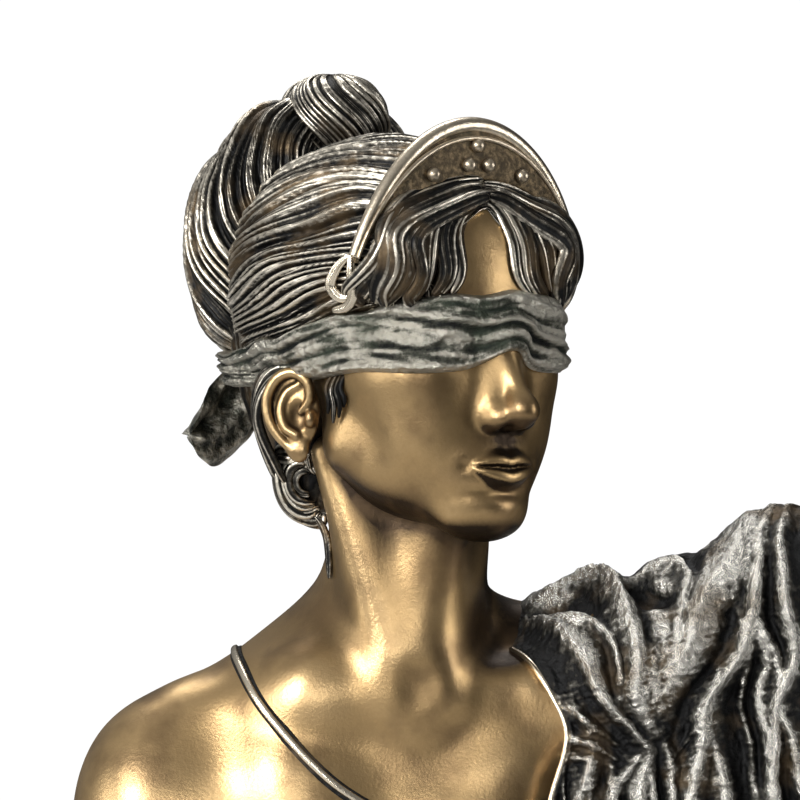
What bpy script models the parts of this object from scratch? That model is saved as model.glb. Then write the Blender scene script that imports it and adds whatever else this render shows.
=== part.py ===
"""Bust of blindfolded Justice, a small cold-cast bronze.

One solid: head, hair, diadem, blindfold, neck, chest, bare right shoulder, and the lifted
left arm under its cloth.  Cut flat below the breast, and the arm is cut flat too.

Frame: +Z up, the chest faces -Y, the lifted arm goes to +X, the underside is z = 0.
Sizes are shares of the head's height, counted from the chin; they become metres at the end.
Head points are (to her left, forward, up) from the ear axis above the chin.
"""
import math

import bmesh
import bpy
import numpy as np
from mathutils import Vector

HEAD = 0.0446                # chin to crown, metres
TURN = math.radians(38)      # the head is turned to her left
AXIS = (0.0, -0.03)          # where the ear axis stands over the chest
CUT_LOW = 1.035              # chin down to the flat underside
CLOTH_END = 1.02             # mid-plane out to the end of the cloth
CUT_ARM = 1.10               # mid-plane out to the cut of the lifted arm
SKIN_OF_CLOTH = 0.028        # thickness of the cloth over the body
VOXEL = 0.0095               # grain of the joined solid, share of the head
TRIANGLES = 10600

s_turn, c_turn = math.sin(TURN), math.cos(TURN)


# ---------------------------------------------------------------- blended forms

def ball(p, centre, radii):
    """Signed distance to an ellipsoid, true to first order near its surface."""
    q = p - np.asarray(centre, float)
    r = np.asarray(radii, float) * np.ones(3)
    k0 = np.sqrt(((q / r) ** 2).sum(-1))
    k1 = np.sqrt(((q / (r * r)) ** 2).sum(-1))
    return k0 * (k0 - 1) / np.maximum(k1, 1e-6)


def limb(p, start, end, r0, r1):
    """Signed distance to a round-ended rod whose radius runs from r0 to r1."""
    a = np.asarray(start, float)
    d = np.asarray(end, float) - a
    q = p - a
    t = np.clip((q @ d) / float(d @ d), 0, 1)
    return np.sqrt(((q - t[..., None] * d) ** 2).sum(-1)) - (r0 + (r1 - r0) * t)


def melt(a, b, k):
    """Union with a fillet of about k."""
    h = np.maximum(k - np.abs(a - b), 0) / k
    return np.minimum(a, b) - h * h * k * 0.25


def scoop(a, b, k):
    """a with b cut out of it, its edge rounded over about k."""
    h = np.maximum(k - np.abs(a + b), 0) / k
    return np.maximum(a, -b) + h * h * k * 0.25


def to_head(p):
    x, y = p[..., 0] - AXIS[0], p[..., 1] - AXIS[1]
    return np.stack([x * c_turn + y * s_turn, x * s_turn - y * c_turn, p[..., 2]], -1)


def from_head(q):
    q = np.asarray(q, float)
    a, b, up = q[..., 0], q[..., 1], q[..., 2]
    return np.stack([a * c_turn + b * s_turn + AXIS[0], a * s_turn - b * c_turn + AXIS[1], up], -1)


def head_field(q):
    """Skull, jaw, cheeks, nose, mouth and chin, on the usual thirds of a face."""
    d = ball(q, (0, -0.02, 0.64), (0.325, 0.42, 0.36))
    d = melt(d, ball(q, (0, 0.135, 0.40), (0.258, 0.275, 0.33)), 0.12)
    for m in (-1, 1):
        d = melt(d, limb(q, (m * 0.185, 0.06, 0.235), (m * 0.06, 0.315, 0.085), 0.075, 0.066), 0.08)
        d = melt(d, ball(q, (m * 0.155, 0.255, 0.405), (0.085, 0.10, 0.075)), 0.10)
        d = melt(d, ball(q, (m * 0.105, 0.27, 0.265), (0.11, 0.10, 0.13)), 0.08)
    d = melt(d, ball(q, (0, 0.15, 0.165), (0.17, 0.21, 0.10)), 0.08)
    d = melt(d, ball(q, (0, 0.345, 0.19), (0.115, 0.075, 0.105)), 0.06)
    d = melt(d, ball(q, (0, 0.335, 0.085), (0.075, 0.078, 0.070)), 0.06)
    d = melt(d, limb(q, (-0.13, 0.34, 0.535), (0.13, 0.34, 0.535), 0.05, 0.05), 0.08)
    for m in (-1, 1):
        d = scoop(d, ball(q, (m * 0.125, 0.435, 0.475), (0.075, 0.05, 0.045)), 0.05)
        d = melt(d, ball(q, (m * 0.12, 0.335, 0.475), (0.06, 0.055, 0.055)), 0.02)
    d = melt(d, limb(q, (0, 0.385, 0.515), (0, 0.487, 0.325), 0.026, 0.032), 0.05)
    d = melt(d, ball(q, (0, 0.490, 0.314), (0.038, 0.042, 0.034)), 0.03)
    for m in (-1, 1):
        d = melt(d, ball(q, (m * 0.042, 0.440, 0.302), (0.028, 0.042, 0.028)), 0.022)
    d = melt(d, limb(q, (0, 0.485, 0.290), (0, 0.425, 0.278), 0.014, 0.014), 0.015)
    for m in (-1, 1):
        d = melt(d, limb(q, (m * 0.022, 0.421, 0.201), (m * 0.082, 0.378, 0.184), 0.019, 0.007), 0.02)
        d = melt(d, limb(q, (m * 0.012, 0.419, 0.163), (m * 0.066, 0.386, 0.175), 0.021, 0.009), 0.02)
    for m in (-1, 1):
        d = scoop(d, limb(q, (0, 0.446, 0.182), (m * 0.092, 0.392, 0.181), 0.0055, 0.004), 0.010)
    d = scoop(d, ball(q, (0, 0.438, 0.128), (0.055, 0.026, 0.014)), 0.035)
    return d


def chest_field(p):
    """Rib cage and breasts."""
    d = ball(p, (0, 0.08, -0.834), (0.43, 0.30, 0.62))
    d = melt(d, ball(p, (0, 0.20, -0.634), (0.46, 0.17, 0.42)), 0.15)
    for x in (-0.21, 0.21):
        d = melt(d, limb(p, (x, -0.05, -0.634), (x * 1.02, -0.13, -0.914), 0.12, 0.185), 0.12)
        d = melt(d, ball(p, (x * 1.05, -0.17, -0.984), (0.195, 0.185, 0.195)), 0.06)
    return d


def body_field(p):
    """Chest, neck, the bare shoulder and arm, and the lifted one."""
    d = chest_field(p)
    d = melt(d, limb(p, (0.015, -0.005, 0.17), (0.01, 0.055, -0.414), 0.185, 0.205), 0.12)
    d = melt(d, limb(p, (-0.08, 0.12, -0.194), (-0.56, 0.09, -0.509), 0.12, 0.10), 0.10)
    d = melt(d, ball(p, (-0.62, 0.03, -0.674), (0.185, 0.19, 0.27)), 0.08)
    d = melt(d, limb(p, (-0.625, 0.04, -0.754), (-0.655, 0.08, -1.554), 0.16, 0.145), 0.05)
    d = melt(d, limb(p, (-0.30, -0.02, -0.594), (-0.56, -0.02, -0.734), 0.16, 0.12), 0.12)
    d = melt(d, limb(p, (0.08, 0.12, -0.174), (0.54, 0.08, -0.284), 0.12, 0.125), 0.10)
    d = melt(d, ball(p, (0.56, 0.04, -0.324), (0.2, 0.19, 0.2)), 0.08)
    d = melt(d, limb(p, (0.56, 0.04, -0.304), (1.25, -0.04, 0.05), 0.16, 0.135), 0.08)
    d = melt(d, limb(p, (0.30, 0.0, -0.534), (0.5, 0.02, -0.404), 0.17, 0.16), 0.12)
    d = melt(d, limb(p, (-0.01, -0.135, -0.369), (-0.25, -0.138, -0.359), 0.028, 0.022), 0.08)
    d = melt(d, limb(p, (-0.25, -0.138, -0.359), (-0.54, -0.03, -0.384), 0.022, 0.030), 0.08)
    d = melt(d, limb(p, (0.08, -0.135, -0.369), (0.30, -0.125, -0.329), 0.028, 0.024), 0.08)
    d = melt(d, limb(p, (-0.185, -0.10, 0.21), (0.012, -0.172, -0.354), 0.036, 0.026), 0.05)
    d = melt(d, limb(p, (0.195, 0.10, 0.21), (0.072, -0.172, -0.354), 0.040, 0.026), 0.05)
    d = melt(d, limb(p, (0.10, -0.16, 0.046), (0.05, -0.12, -0.274), 0.07, 0.06), 0.08)
    return scoop(d, ball(p, (0.042, -0.20, -0.325), (0.026, 0.03, 0.040)), 0.06)


def hair_field(q):
    """The close mass of hair under the locks."""
    d = ball(q, (0, -0.06, 0.63), (0.362, 0.43, 0.35))
    d = melt(d, ball(q, (0, -0.27, 0.42), (0.26, 0.17, 0.27)), 0.10)
    for m in (-1, 1):
        d = melt(d, ball(q, (m * 0.20, 0.20, 0.70), (0.15, 0.17, 0.15)), 0.08)
        d = melt(d, ball(q, (m * 0.165, -0.165, 0.16), (0.085, 0.09, 0.14)), 0.06)
    return d


def crown_field(q):
    return melt(head_field(q), hair_field(q), 0.02)


def cast(field, start, way, reach):
    """Length from start along way to the skin of a field: the outer one from a long reach, the first from a short."""
    start = np.asarray(start, float)
    r = np.full(way.shape[:-1], float(reach))
    for _ in range(70):
        d = field(start + way * r[..., None])
        r = np.maximum(r - 0.75 * d, 0.02)
    return r


def settled(field, p, lift):
    """Points moved square on to the skin of a field, and lifted off it."""
    step = 0.004
    for _ in range(8):
        d = field(p)
        slope = np.stack([field(p + step * e) - field(p - step * e) for e in np.eye(3)], -1) / (2 * step)
        size = np.maximum(np.linalg.norm(slope, axis=-1), 0.2)
        p = p - ((d - lift) / size)[..., None] * slope / size[..., None]
    return p


def smooth(t):
    t = np.clip(t, 0, 1)
    return t * t * (3 - 2 * t)


# ---------------------------------------------------------------- making things

def collection(name, hidden=False):
    c = bpy.data.collections.new(name)
    bpy.context.scene.collection.children.link(c)
    c.hide_render = hidden
    return c


def new_object(name, mesh, where):
    ob = bpy.data.objects.new(name, mesh)
    where.objects.link(ob)
    return ob


def inflated(name, where, field, centre, reach, across=64, up=40, turned=False, widest=9.0, roof=9.0):
    """A sphere blown out from its centre until it meets the field, a widest reach or a roof."""
    bm = bmesh.new()
    bmesh.ops.create_uvsphere(bm, u_segments=across, v_segments=up, radius=1)
    way = np.array([v.co for v in bm.verts])
    way /= np.linalg.norm(way, axis=1)[:, None]
    centre = np.asarray(centre, float)
    r = np.minimum(cast(field, centre, way, reach), widest)
    r = np.minimum(r, (roof - centre[2]) / np.maximum(way[:, 2], 0.001))
    co = centre + way * r[:, None]
    if turned:
        co = from_head(co)
    for v, c in zip(bm.verts, co):
        v.co = Vector(c)
    bmesh.ops.recalc_face_normals(bm, faces=bm.faces)
    mesh = bpy.data.meshes.new(name)
    bm.to_mesh(mesh)
    bm.free()
    return new_object(name, mesh, where)


def rounded(name, where, centre, radii, across=20, up=12, ripple=0.0, ribs=0, lean=0.0):
    """An ellipsoid, its skin in ribs that lean round it."""
    bm = bmesh.new()
    bmesh.ops.create_uvsphere(bm, u_segments=across, v_segments=up, radius=1)
    for v in bm.verts:
        turn = math.atan2(v.co.y, v.co.x) + lean * v.co.z
        grow = 1 + ripple * math.cos(ribs * turn)
        local = [v.co[i] * radii[i] * grow + centre[i] for i in range(3)]
        v.co = Vector(from_head(local))
    mesh = bpy.data.meshes.new(name)
    bm.to_mesh(mesh)
    bm.free()
    return new_object(name, mesh, where)


def path_through(points, count):
    """Even points on a smooth line through a few given ones."""
    pts = np.asarray(points, float)
    full = np.vstack([2 * pts[0] - pts[1], pts, 2 * pts[-1] - pts[-2]])
    out = []
    spans = len(pts) - 1
    for i in range(count):
        u = i * spans / (count - 1)
        k = min(int(u), spans - 1)
        t = u - k
        a, b, c, d = full[k:k + 4]
        out.append(0.5 * (2 * b + (c - a) * t + (2 * a - 5 * b + 4 * c - d) * t * t
                          + (3 * b - a - 3 * c + d) * t ** 3))
    return np.array(out)


def cord(name, where, path, radii, sides=2):
    """A round cord along a path, as thick at each point as radii says."""
    curve = bpy.data.curves.new(name + "_line", "CURVE")
    curve.dimensions = "3D"
    curve.bevel_depth = 1.0
    curve.bevel_resolution = sides
    curve.use_fill_caps = True
    line = curve.splines.new("POLY")
    line.points.add(len(path) - 1)
    for point, co, r in zip(line.points, path, radii):
        point.co = (co[0], co[1], co[2], 1)
        point.radius = r
    holder = bpy.data.objects.new(name + "_line", curve)
    where.objects.link(holder)
    graph = bpy.context.evaluated_depsgraph_get()
    mesh = bpy.data.meshes.new_from_object(holder.evaluated_get(graph))
    bpy.data.objects.remove(holder)
    bm = bmesh.new()
    bm.from_mesh(mesh)
    bmesh.ops.remove_doubles(bm, verts=bm.verts, dist=0.00005)
    bmesh.ops.recalc_face_normals(bm, faces=bm.faces)
    bm.to_mesh(mesh)
    bm.free()
    mesh.name = name
    return new_object(name, mesh, where)


def plate(name, where, across, up, place, thick):
    """A grid laid out by place(u, v) and given a thickness."""
    bm = bmesh.new()
    bmesh.ops.create_grid(bm, x_segments=across, y_segments=up, size=1)
    uv = np.array([((v.co.x + 1) / 2, (v.co.y + 1) / 2) for v in bm.verts])
    co = from_head(place(uv[:, 0], uv[:, 1]))
    for v, c in zip(bm.verts, co):
        v.co = Vector(c)
    mesh = bpy.data.meshes.new(name)
    bm.to_mesh(mesh)
    bm.free()
    ob = new_object(name, mesh, where)
    solid = ob.modifiers.new("thickness", "SOLIDIFY")
    solid.thickness = thick
    solid.offset = 0
    return ob


# ---------------------------------------------------------------- hair

CROWN = np.array([0, 0, 0.62])


def on_hair(turn, up, lift=0.0):
    """Point on the crown at a turn round the head (0 in front, + to her left) and a height."""
    turn, up = np.asarray(turn, float), np.asarray(up, float)
    start = np.stack([0 * turn, 0 * turn, up], -1)
    way = np.stack([np.sin(turn), np.cos(turn), 0 * turn], -1)
    r = cast(crown_field, start, way, 0.8)
    return start + way * (r + lift)[..., None]


def over_hair(fall, along, lift=0.0):
    """Point on the crown at an angle from the top, and a place along the head from back to front."""
    fall, along = np.asarray(fall, float), np.asarray(along, float)
    start = np.stack([0 * fall, along, 0 * fall + 0.60], -1)
    way = np.stack([np.sin(fall), 0 * fall, np.cos(fall)], -1)
    r = cast(hair_field, start, way, 0.8)
    return start + way * (r + lift)[..., None]


def lock_size(count, wide, ends=0.35):
    t = np.linspace(0, 1, count)
    return wide * (ends + (1 - ends) * np.sin(np.pi * t) ** 0.6)


def swept_locks(m):
    """From behind the diadem, back and down to the groove before the rolls."""
    locks = []
    for i in range(10):
        share = i / 9
        t = np.linspace(0, 1, 12)
        fall = math.radians(6 + 88 * share) + math.radians(38 - 14 * share) * t ** 1.2
        along = 0.235 - 0.50 * t + 0.03 * np.sin(3 * t + 5 * share)
        locks.append(over_hair(m * fall, along, 0.004 + 0.010 * np.cos(2.4 * i)))
    return locks


def front_locks(m):
    """Waves from the parting, back over the temple, to a hook above the blindfold."""
    locks = []
    for i in range(5):
        t = np.linspace(0, 1, 14)
        out = math.radians(22 + 11 * i)
        turn = out * smooth(t * 1.35) + math.radians(7) * np.sin(2 * math.pi * t * 1.15 + 0.5 * i)
        turn = turn - math.radians(9) * smooth((t - 0.82) / 0.18)
        up = 0.86 - 0.005 * i - (0.225 + 0.012 * i) * smooth((t - 0.08) / 0.92)
        locks.append(on_hair(m * turn, up, 0.016 - 0.002 * i))
    return locks


def roll_path(m):
    return path_through([(m * 0.15, -0.34, 0.42), (m * 0.19, -0.36, 0.60), (m * 0.195, -0.365, 0.78),
                         (m * 0.12, -0.33, 0.93), (m * 0.02, -0.26, 1.03)], 22)


def twisted(name, where, path, radii, ribs, depth, twist):
    """A thick roll with ribs winding along it."""
    ob = cord(name, where, from_head(path), radii, 6)
    mesh = ob.data
    line = from_head(path)
    for v in mesh.vertices:
        co = np.array(v.co)
        k = int(np.argmin(((line - co) ** 2).sum(1)))
        way = line[min(k + 1, len(line) - 1)] - line[max(k - 1, 0)]
        side = np.cross(way, (0.3, 1, 0.1))
        other = np.cross(way, side)
        off = co - line[k]
        turn = math.atan2(off @ other / np.linalg.norm(other), off @ side / np.linalg.norm(side))
        grow = 1 + depth * math.cos(ribs * turn + twist * k)
        v.co = Vector(line[k] + off * grow)
    return ob


def build_hair(c):
    inflated("hair_mass", c, hair_field, (0, -0.08, 0.62), 0.8, 56, 36, True)
    for m in (-1, 1):
        tag = "right" if m < 0 else "left"
        for i, lock in enumerate(swept_locks(m)):
            cord(f"swept_{tag}_{i}", c, from_head(lock), lock_size(12, 0.034, 0.7))
        for i, lock in enumerate(front_locks(m)):
            cord(f"wave_{tag}_{i}", c, from_head(lock), lock_size(14, 0.033, 0.45))
        path = roll_path(m)
        t = np.linspace(0, 1, len(path))
        twisted(f"roll_{tag}", c, path, 0.105 + 0.042 * np.sin(np.pi * t ** 0.8), 5, 0.06, 0.28 * m)
        for i in range(3):
            t = np.linspace(0, 1, 16)
            spin = 4.6 * t + 1.2 * i
            wide = 0.040 * (1 - 0.75 * t)
            curl = np.stack([m * (0.225 - 0.020 * i + 0.8 * wide * np.cos(spin)),
                             -0.19 - 0.035 * i - 0.6 * wide * np.cos(spin),
                             0.175 - 0.06 * i + wide * np.sin(spin)], -1)
            cord(f"curl_{tag}_{i}", c, from_head(curl), lock_size(16, 0.024, 0.6))
        behind = path_through([(m * 0.29, 0.03, 0.40), (m * 0.345, -0.06, 0.38), (m * 0.335, -0.14, 0.28),
                               (m * 0.27, -0.17, 0.17)], 12)
        cord(f"behind_ear_{tag}", c, from_head(behind), lock_size(12, 0.034, 0.5))
    rounded("bun", c, (0, -0.262, 1.045), (0.128, 0.13, 0.112), 48, 20, 0.05, 9, 1.2)
    rounded("bun_foot", c, (0, -0.22, 0.97), (0.13, 0.13, 0.10))


# ---------------------------------------------------------------- diadem, blindfold, ears

DIADEM_HALF = 0.36
DIADEM_FOOT = 0.62
DIADEM_RISE = 0.266
DIADEM_TALL = 0.150


def diadem_at(tau, share):
    """Point on the diadem: tau runs from temple to temple, share from its foot to its rim."""
    tall = DIADEM_TALL * np.abs(np.cos(tau)) ** 2.6 + 0.012
    a = (DIADEM_HALF + 0.35 * tall * share) * np.sin(tau)
    b = 0.262 + 0.055 * np.cos(tau) - 0.10 * tall * share
    z = DIADEM_FOOT + DIADEM_RISE * np.cos(tau) + tall * share
    return np.stack([a, b, z], -1)


def build_diadem(c):
    end = math.radians(84)
    plate("diadem", c, 30, 5, lambda u, v: diadem_at((2 * u - 1) * end, v), 0.03)
    tau = np.linspace(-end, end, 40)
    cord("diadem_rim", c, from_head(diadem_at(tau, 1.0)), 0 * tau + 0.021)
    cord("diadem_foot", c, from_head(diadem_at(tau, 0.0)), 0 * tau + 0.020)
    bead = 0.0165
    spots = [(0.0, 0.66), (-0.085, 0.27), (0.085, 0.27), (-0.40, 0.30), (0.40, 0.30)]
    for i, (tau, share) in enumerate(spots):
        at = diadem_at(np.array(tau), share) + (0, 0.018, 0)
        rounded(f"bead_{i}", c, at, (bead, bead, bead), 10, 6)


def band_at(turn, share):
    """Point on the blindfold: turn round the head, share from its lower edge to its upper."""
    front = (1 + np.cos(turn)) / 2
    high = 0.462 + 0.150 * front ** 1.5
    low = 0.372 + 0.048 * front + 0.045 * np.exp(-(turn / 0.15) ** 2)
    up = low + (high - low) * share
    start = np.stack([0 * turn, 0 * turn, up], -1)
    way = np.stack([np.sin(turn), np.cos(turn), 0 * turn], -1)
    r = cast(crown_field, start, way, 0.8)
    crease = 0.009 * np.cos(2 * math.pi * (2.4 * share + 0.25 * np.sin(2 * turn)))
    return start + way * (r + 0.016 + crease)[..., None]


def wing_at(u, v, m):
    """A leaf of cloth out of the knot."""
    line = path_through([(m * 0.02, -0.50, 0.40), (m * 0.17, -0.50, 0.315), (m * 0.31, -0.455, 0.285)], 30)
    spot = np.stack([np.interp(u * 29, np.arange(30), line[:, i]) for i in range(3)], -1)
    wide = 0.105 * np.sin(np.pi * np.clip(u * 0.80 + 0.18, 0, 1)) ** 0.9 + 0.006
    fold = 0.018 * np.cos(7 * v + 3 * u)
    spot[:, 2] += (v - 0.5) * 2 * wide - 0.02 * u
    spot[:, 1] += fold
    return spot


def build_band(c):
    bm = bmesh.new()
    bmesh.ops.create_cone(bm, segments=72, radius1=1, radius2=1, depth=2)
    across = [e for e in bm.edges if abs(e.verts[0].co.z - e.verts[1].co.z) > 1]
    bmesh.ops.subdivide_edges(bm, edges=across, cuts=6, use_grid_fill=False)
    raw = np.array([v.co for v in bm.verts])
    co = from_head(band_at(np.arctan2(raw[:, 0], raw[:, 1]), (raw[:, 2] + 1) / 2))
    for v, p in zip(bm.verts, co):
        v.co = Vector(p)
    mesh = bpy.data.meshes.new("blindfold")
    bm.to_mesh(mesh)
    bm.free()
    ob = new_object("blindfold", mesh, c)
    solid = ob.modifiers.new("thickness", "SOLIDIFY")
    solid.thickness = 0.045
    solid.offset = 0
    rounded("knot", c, (0, -0.515, 0.415), (0.07, 0.045, 0.055), 16, 10, 0.06, 5, 0.8)
    for m in (-1, 1):
        plate(f"wing_{m + 1}", c, 14, 6, lambda u, v, m=m: wing_at(u, v, m), 0.03)


def build_ears(c):
    for m in (-1, 1):
        tag = "right" if m < 0 else "left"
        t = np.linspace(0, 1, 18)
        turn = np.radians(-120 + 330 * t)
        rise = 0.112 - 0.02 * t
        helix = np.stack([m * (0.315 + 0.03 * np.sin(np.pi * t)),
                          -0.035 - 0.062 * np.sin(turn) * (1 - 0.25 * t),
                          0.305 - rise * np.cos(turn)], -1)
        cord(f"helix_{tag}", c, from_head(helix), lock_size(18, 0.019, 0.8))
        rounded(f"ear_{tag}", c, (m * 0.297, -0.03, 0.30), (0.03, 0.055, 0.09), 16, 10)
        rounded(f"lobe_{tag}", c, (m * 0.305, 0.0, 0.215), (0.022, 0.030, 0.032), 12, 8)


# ---------------------------------------------------------------- cloth

BODICE_TOP = -0.645
BODICE_THICK = 0.016


def dressed_field(p):
    """The chest in its bodice, in soft upright pleats."""
    around = np.arctan2(p[..., 0], -(p[..., 1] - 0.08))
    pleat = 0.009 * np.cos(34 * around + 6 * p[..., 2]) * smooth((BODICE_TOP - p[..., 2]) / 0.12)
    return chest_field(p) - BODICE_THICK - pleat


def hem_front(up):
    """How far out the cloth's front edge lies, at each height."""
    spine = path_through([(0.26, -0.11), (0.335, -0.25), (0.392, -0.37), (0.392, -0.45), (0.352, -0.60),
                          (0.335, -0.80), (0.30, -1.15)], 40)
    return np.interp(-up, -spine[:, 1], spine[:, 0])


def hem_back(up):
    return np.interp(-up, (0.11, 1.15), (0.26, -0.15))


def hung_field(p):
    """Body and the depth of cloth that hangs from the lifted arm."""
    d = melt(body_field(p), dressed_field(p), 0.02)
    for x, deep, top, r0, r1 in ((0.50, 0.02, -0.42, 0.20, 0.24), (0.74, 0.0, -0.26, 0.16, 0.17),
                                 (0.98, -0.02, -0.14, 0.13, 0.12)):
        d = melt(d, limb(p, (x, deep, top), (x - 0.04, deep, -1.3), r0, r1), 0.12)
    return d


def ridge(x, z, line, wide, tall, sharp=1.0):
    """A fold: a crest along a line, falling off to both sides, thin at its ends."""
    best = np.full(x.shape, 9.0)
    where = np.zeros(x.shape)
    for k in range(len(line) - 1):
        ax, az = line[k]
        dx, dz = line[k + 1] - line[k]
        t = np.clip(((x - ax) * dx + (z - az) * dz) / (dx * dx + dz * dz), 0, 1)
        far = np.hypot(x - ax - t * dx, z - az - t * dz)
        nearer = far < best
        best = np.where(nearer, far, best)
        where = np.where(nearer, (k + t) / (len(line) - 1), where)
    body = np.exp(-np.abs(best / wide) ** (1.5 * sharp))
    return tall * body * np.clip(np.sin(np.pi * (0.06 + 0.90 * where)), 0, 1) ** 0.5


GATHER = (0.605, -0.50)


def fold_lines():
    """Folds from the shoulder and from the arm down to the gathering, and long ones below it."""
    lines = []
    for i in range(5):
        top = (0.31 + 0.055 * i, -0.15 + 0.012 * i)
        mid = (0.42 + 0.035 * i, -0.34 - 0.012 * (4 - i))
        lines.append((path_through([top, mid, (GATHER[0] - 0.02 + 0.01 * i, GATHER[1])], 9), 0.020, 0.042))
    for i in range(5):
        top = (0.66 + 0.085 * i, -0.10 + 0.045 * i)
        mid = (0.65 + 0.055 * i, -0.30 + 0.015 * i)
        lines.append((path_through([top, mid, (GATHER[0] + 0.015 * i, GATHER[1] - 0.02 * i)], 9), 0.022, 0.046))
    for i in range(9):
        foot = 0.40 + 0.078 * i
        head = GATHER[0] - 0.05 + 0.045 * i
        start = (head, -0.50 + 0.052 * max(i - 2, 0))
        bend = (0.5 * (head + foot) + 0.012 * math.sin(2 * i), -0.78)
        lines.append((path_through([start, bend, (foot, -1.15)], 9), 0.024 + 0.004 * (i % 3), 0.050))
    return lines


FOLDS = fold_lines()


def folds(x, z):
    tall = np.zeros(x.shape)
    for line, wide, high in FOLDS:
        tall = np.maximum(tall, ridge(x, z, line, wide, high)) + 0.15 * ridge(x, z, line, wide * 2, high)
    return tall


def arm_line(x):
    return np.clip(-0.30 + (x - 0.56) * 0.51, -0.36, 0.1)


def cloth_grid(across, round_):
    """Cloth from edge to arm end, and from the front foot over the shoulder to the back foot."""
    s, t = np.meshgrid(np.linspace(0, 1, across), np.linspace(0, 1, round_), indexing="ij")
    low, split = -1.12, 0.40
    lean = math.pi * np.clip((t - split) / (1 - 2 * split), 0, 1)
    front_up = low + (arm_line(0.6) - low) * np.clip(t / split, 0, 1)
    back_up = low + (arm_line(0.6) - low) * np.clip((1 - t) / split, 0, 1)
    over = smooth((t - split) / (1 - 2 * split))
    arc = np.where(t < 0.5, front_up + 0.2 * lean, back_up + 0.2 * (math.pi - lean))
    edge = (1 - over) * hem_front(arc) + over * hem_back(arc)
    x = edge + s * (CLOTH_END - edge)
    axis = arm_line(x)
    rise = np.clip(np.where(t < 0.5, t, 1 - t) / split, 0, 1)
    z0 = low + (axis - low) * rise
    start = np.stack([x, 0.03 + 0 * x, z0], -1)
    way = np.stack([0 * x, -np.cos(lean), np.sin(lean)], -1)
    r = cast(hung_field, start, way, 0.9)
    drop = np.where(t < 0.5, z0 + r * np.sin(lean) * 1.0, z0 + r * np.sin(lean))
    lift = SKIN_OF_CLOTH * smooth(s / 0.035) - 0.05 * (1 - smooth(s / 0.02))
    lift = lift + 0.016 * np.exp(-((s - 0.035) / 0.018) ** 2)
    wave = folds(x, drop) * smooth((s - 0.03) / 0.06)
    back_wave = 0.022 * np.cos(26 * (x + 0.25 * drop)) * smooth((s - 0.05) / 0.1)
    lift = lift + np.where(t < 0.5, wave, 0) * smooth((0.56 - t) / 0.06)
    lift = lift + np.where(t > 0.5, back_wave, 0) * smooth((t - 0.55) / 0.1)
    return start + way * (r + lift)[..., None]


def build_cloth(c):
    """Ring after ring over the arm, each closed below, capped at both ends."""
    grid = cloth_grid(84, 110)
    rows, cols = grid.shape[:2]
    bm = bmesh.new()
    verts = [[bm.verts.new(grid[i, j]) for j in range(cols)] for i in range(rows)]
    for i in range(rows - 1):
        for j in range(cols):
            k = (j + 1) % cols
            bm.faces.new((verts[i][j], verts[i + 1][j], verts[i + 1][k], verts[i][k]))
    bm.faces.new(verts[0])
    bm.faces.new(verts[-1][::-1])
    bmesh.ops.recalc_face_normals(bm, faces=bm.faces)
    mesh = bpy.data.meshes.new("cloth")
    bm.to_mesh(mesh)
    bm.free()
    return new_object("cloth", mesh, c)


def build_dress(c):
    """The strap over the bare shoulder, the bodice and its scalloped edge."""
    strap = path_through([(-0.30, 0.36, -0.66), (-0.35, 0.32, -0.45), (-0.40, 0.16, -0.28), (-0.405, 0.03, -0.285),
                          (-0.375, -0.10, -0.335), (-0.30, -0.20, -0.44), (-0.22, -0.22, -0.54),
                          (-0.13, -0.26, -0.60), (-0.06, -0.27, -0.64)], 44)
    cord("strap", c, settled(body_field, strap, 0.006), 0 * strap[:, 0] + 0.017)
    turn = np.linspace(math.radians(-270), math.radians(84), 150)
    scallop = 0.014 * np.abs(np.sin(turn * 9)) * (np.abs(turn) < 1.6)
    start = np.stack([0 * turn, 0 * turn + 0.08, BODICE_TOP - scallop], -1)
    way = np.stack([np.sin(turn), -np.cos(turn), 0 * turn], -1)
    edge = start + way * (cast(chest_field, start, way, 1.0) + BODICE_THICK * 0.7)[:, None]
    cord("neckline", c, edge, 0 * turn + 0.020)
    inflated("bodice", c, dressed_field, (0, 0.06, -1.0), 0.02, 150, 60, roof=BODICE_TOP)


# ---------------------------------------------------------------- joining

def material(name, colour):
    mat = bpy.data.materials.new(name)
    mat.use_nodes = True
    shader = mat.node_tree.nodes["Principled BSDF"]
    shader.inputs["Base Color"].default_value = (*colour, 1)
    shader.inputs["Metallic"].default_value = 0.9
    shader.inputs["Roughness"].default_value = 0.42
    return mat


def joined(name, where, parts):
    """One mesh of all the parts as they stand, placed in metres over the underside."""
    graph = bpy.context.evaluated_depsgraph_get()
    bm = bmesh.new()
    for ob in parts:
        mesh = bpy.data.meshes.new_from_object(ob.evaluated_get(graph))
        bm.from_mesh(mesh)
        bpy.data.meshes.remove(mesh)
    for ob in parts:
        bpy.data.objects.remove(ob)
    for v in bm.verts:
        v.co = Vector((v.co.x, v.co.y, v.co.z + CUT_LOW)) * HEAD
    mesh = bpy.data.meshes.new(name)
    bm.to_mesh(mesh)
    bm.free()
    return new_object(name, mesh, where)


def applied(ob):
    graph = bpy.context.evaluated_depsgraph_get()
    mesh = bpy.data.meshes.new_from_object(ob.evaluated_get(graph))
    ob.modifiers.clear()
    old = ob.data
    ob.data = mesh
    bpy.data.meshes.remove(old)
    mesh.name = ob.name


def block(name, where, low, high):
    bm = bmesh.new()
    bmesh.ops.create_cube(bm, size=1)
    for v in bm.verts:
        v.co = Vector([(low[i] + high[i]) / 2 + v.co[i] * (high[i] - low[i]) for i in range(3)])
    mesh = bpy.data.meshes.new(name)
    bm.to_mesh(mesh)
    bm.free()
    ob = new_object(name, mesh, where)
    ob.display_type = "WIRE"
    ob.hide_render = True
    return ob


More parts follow.
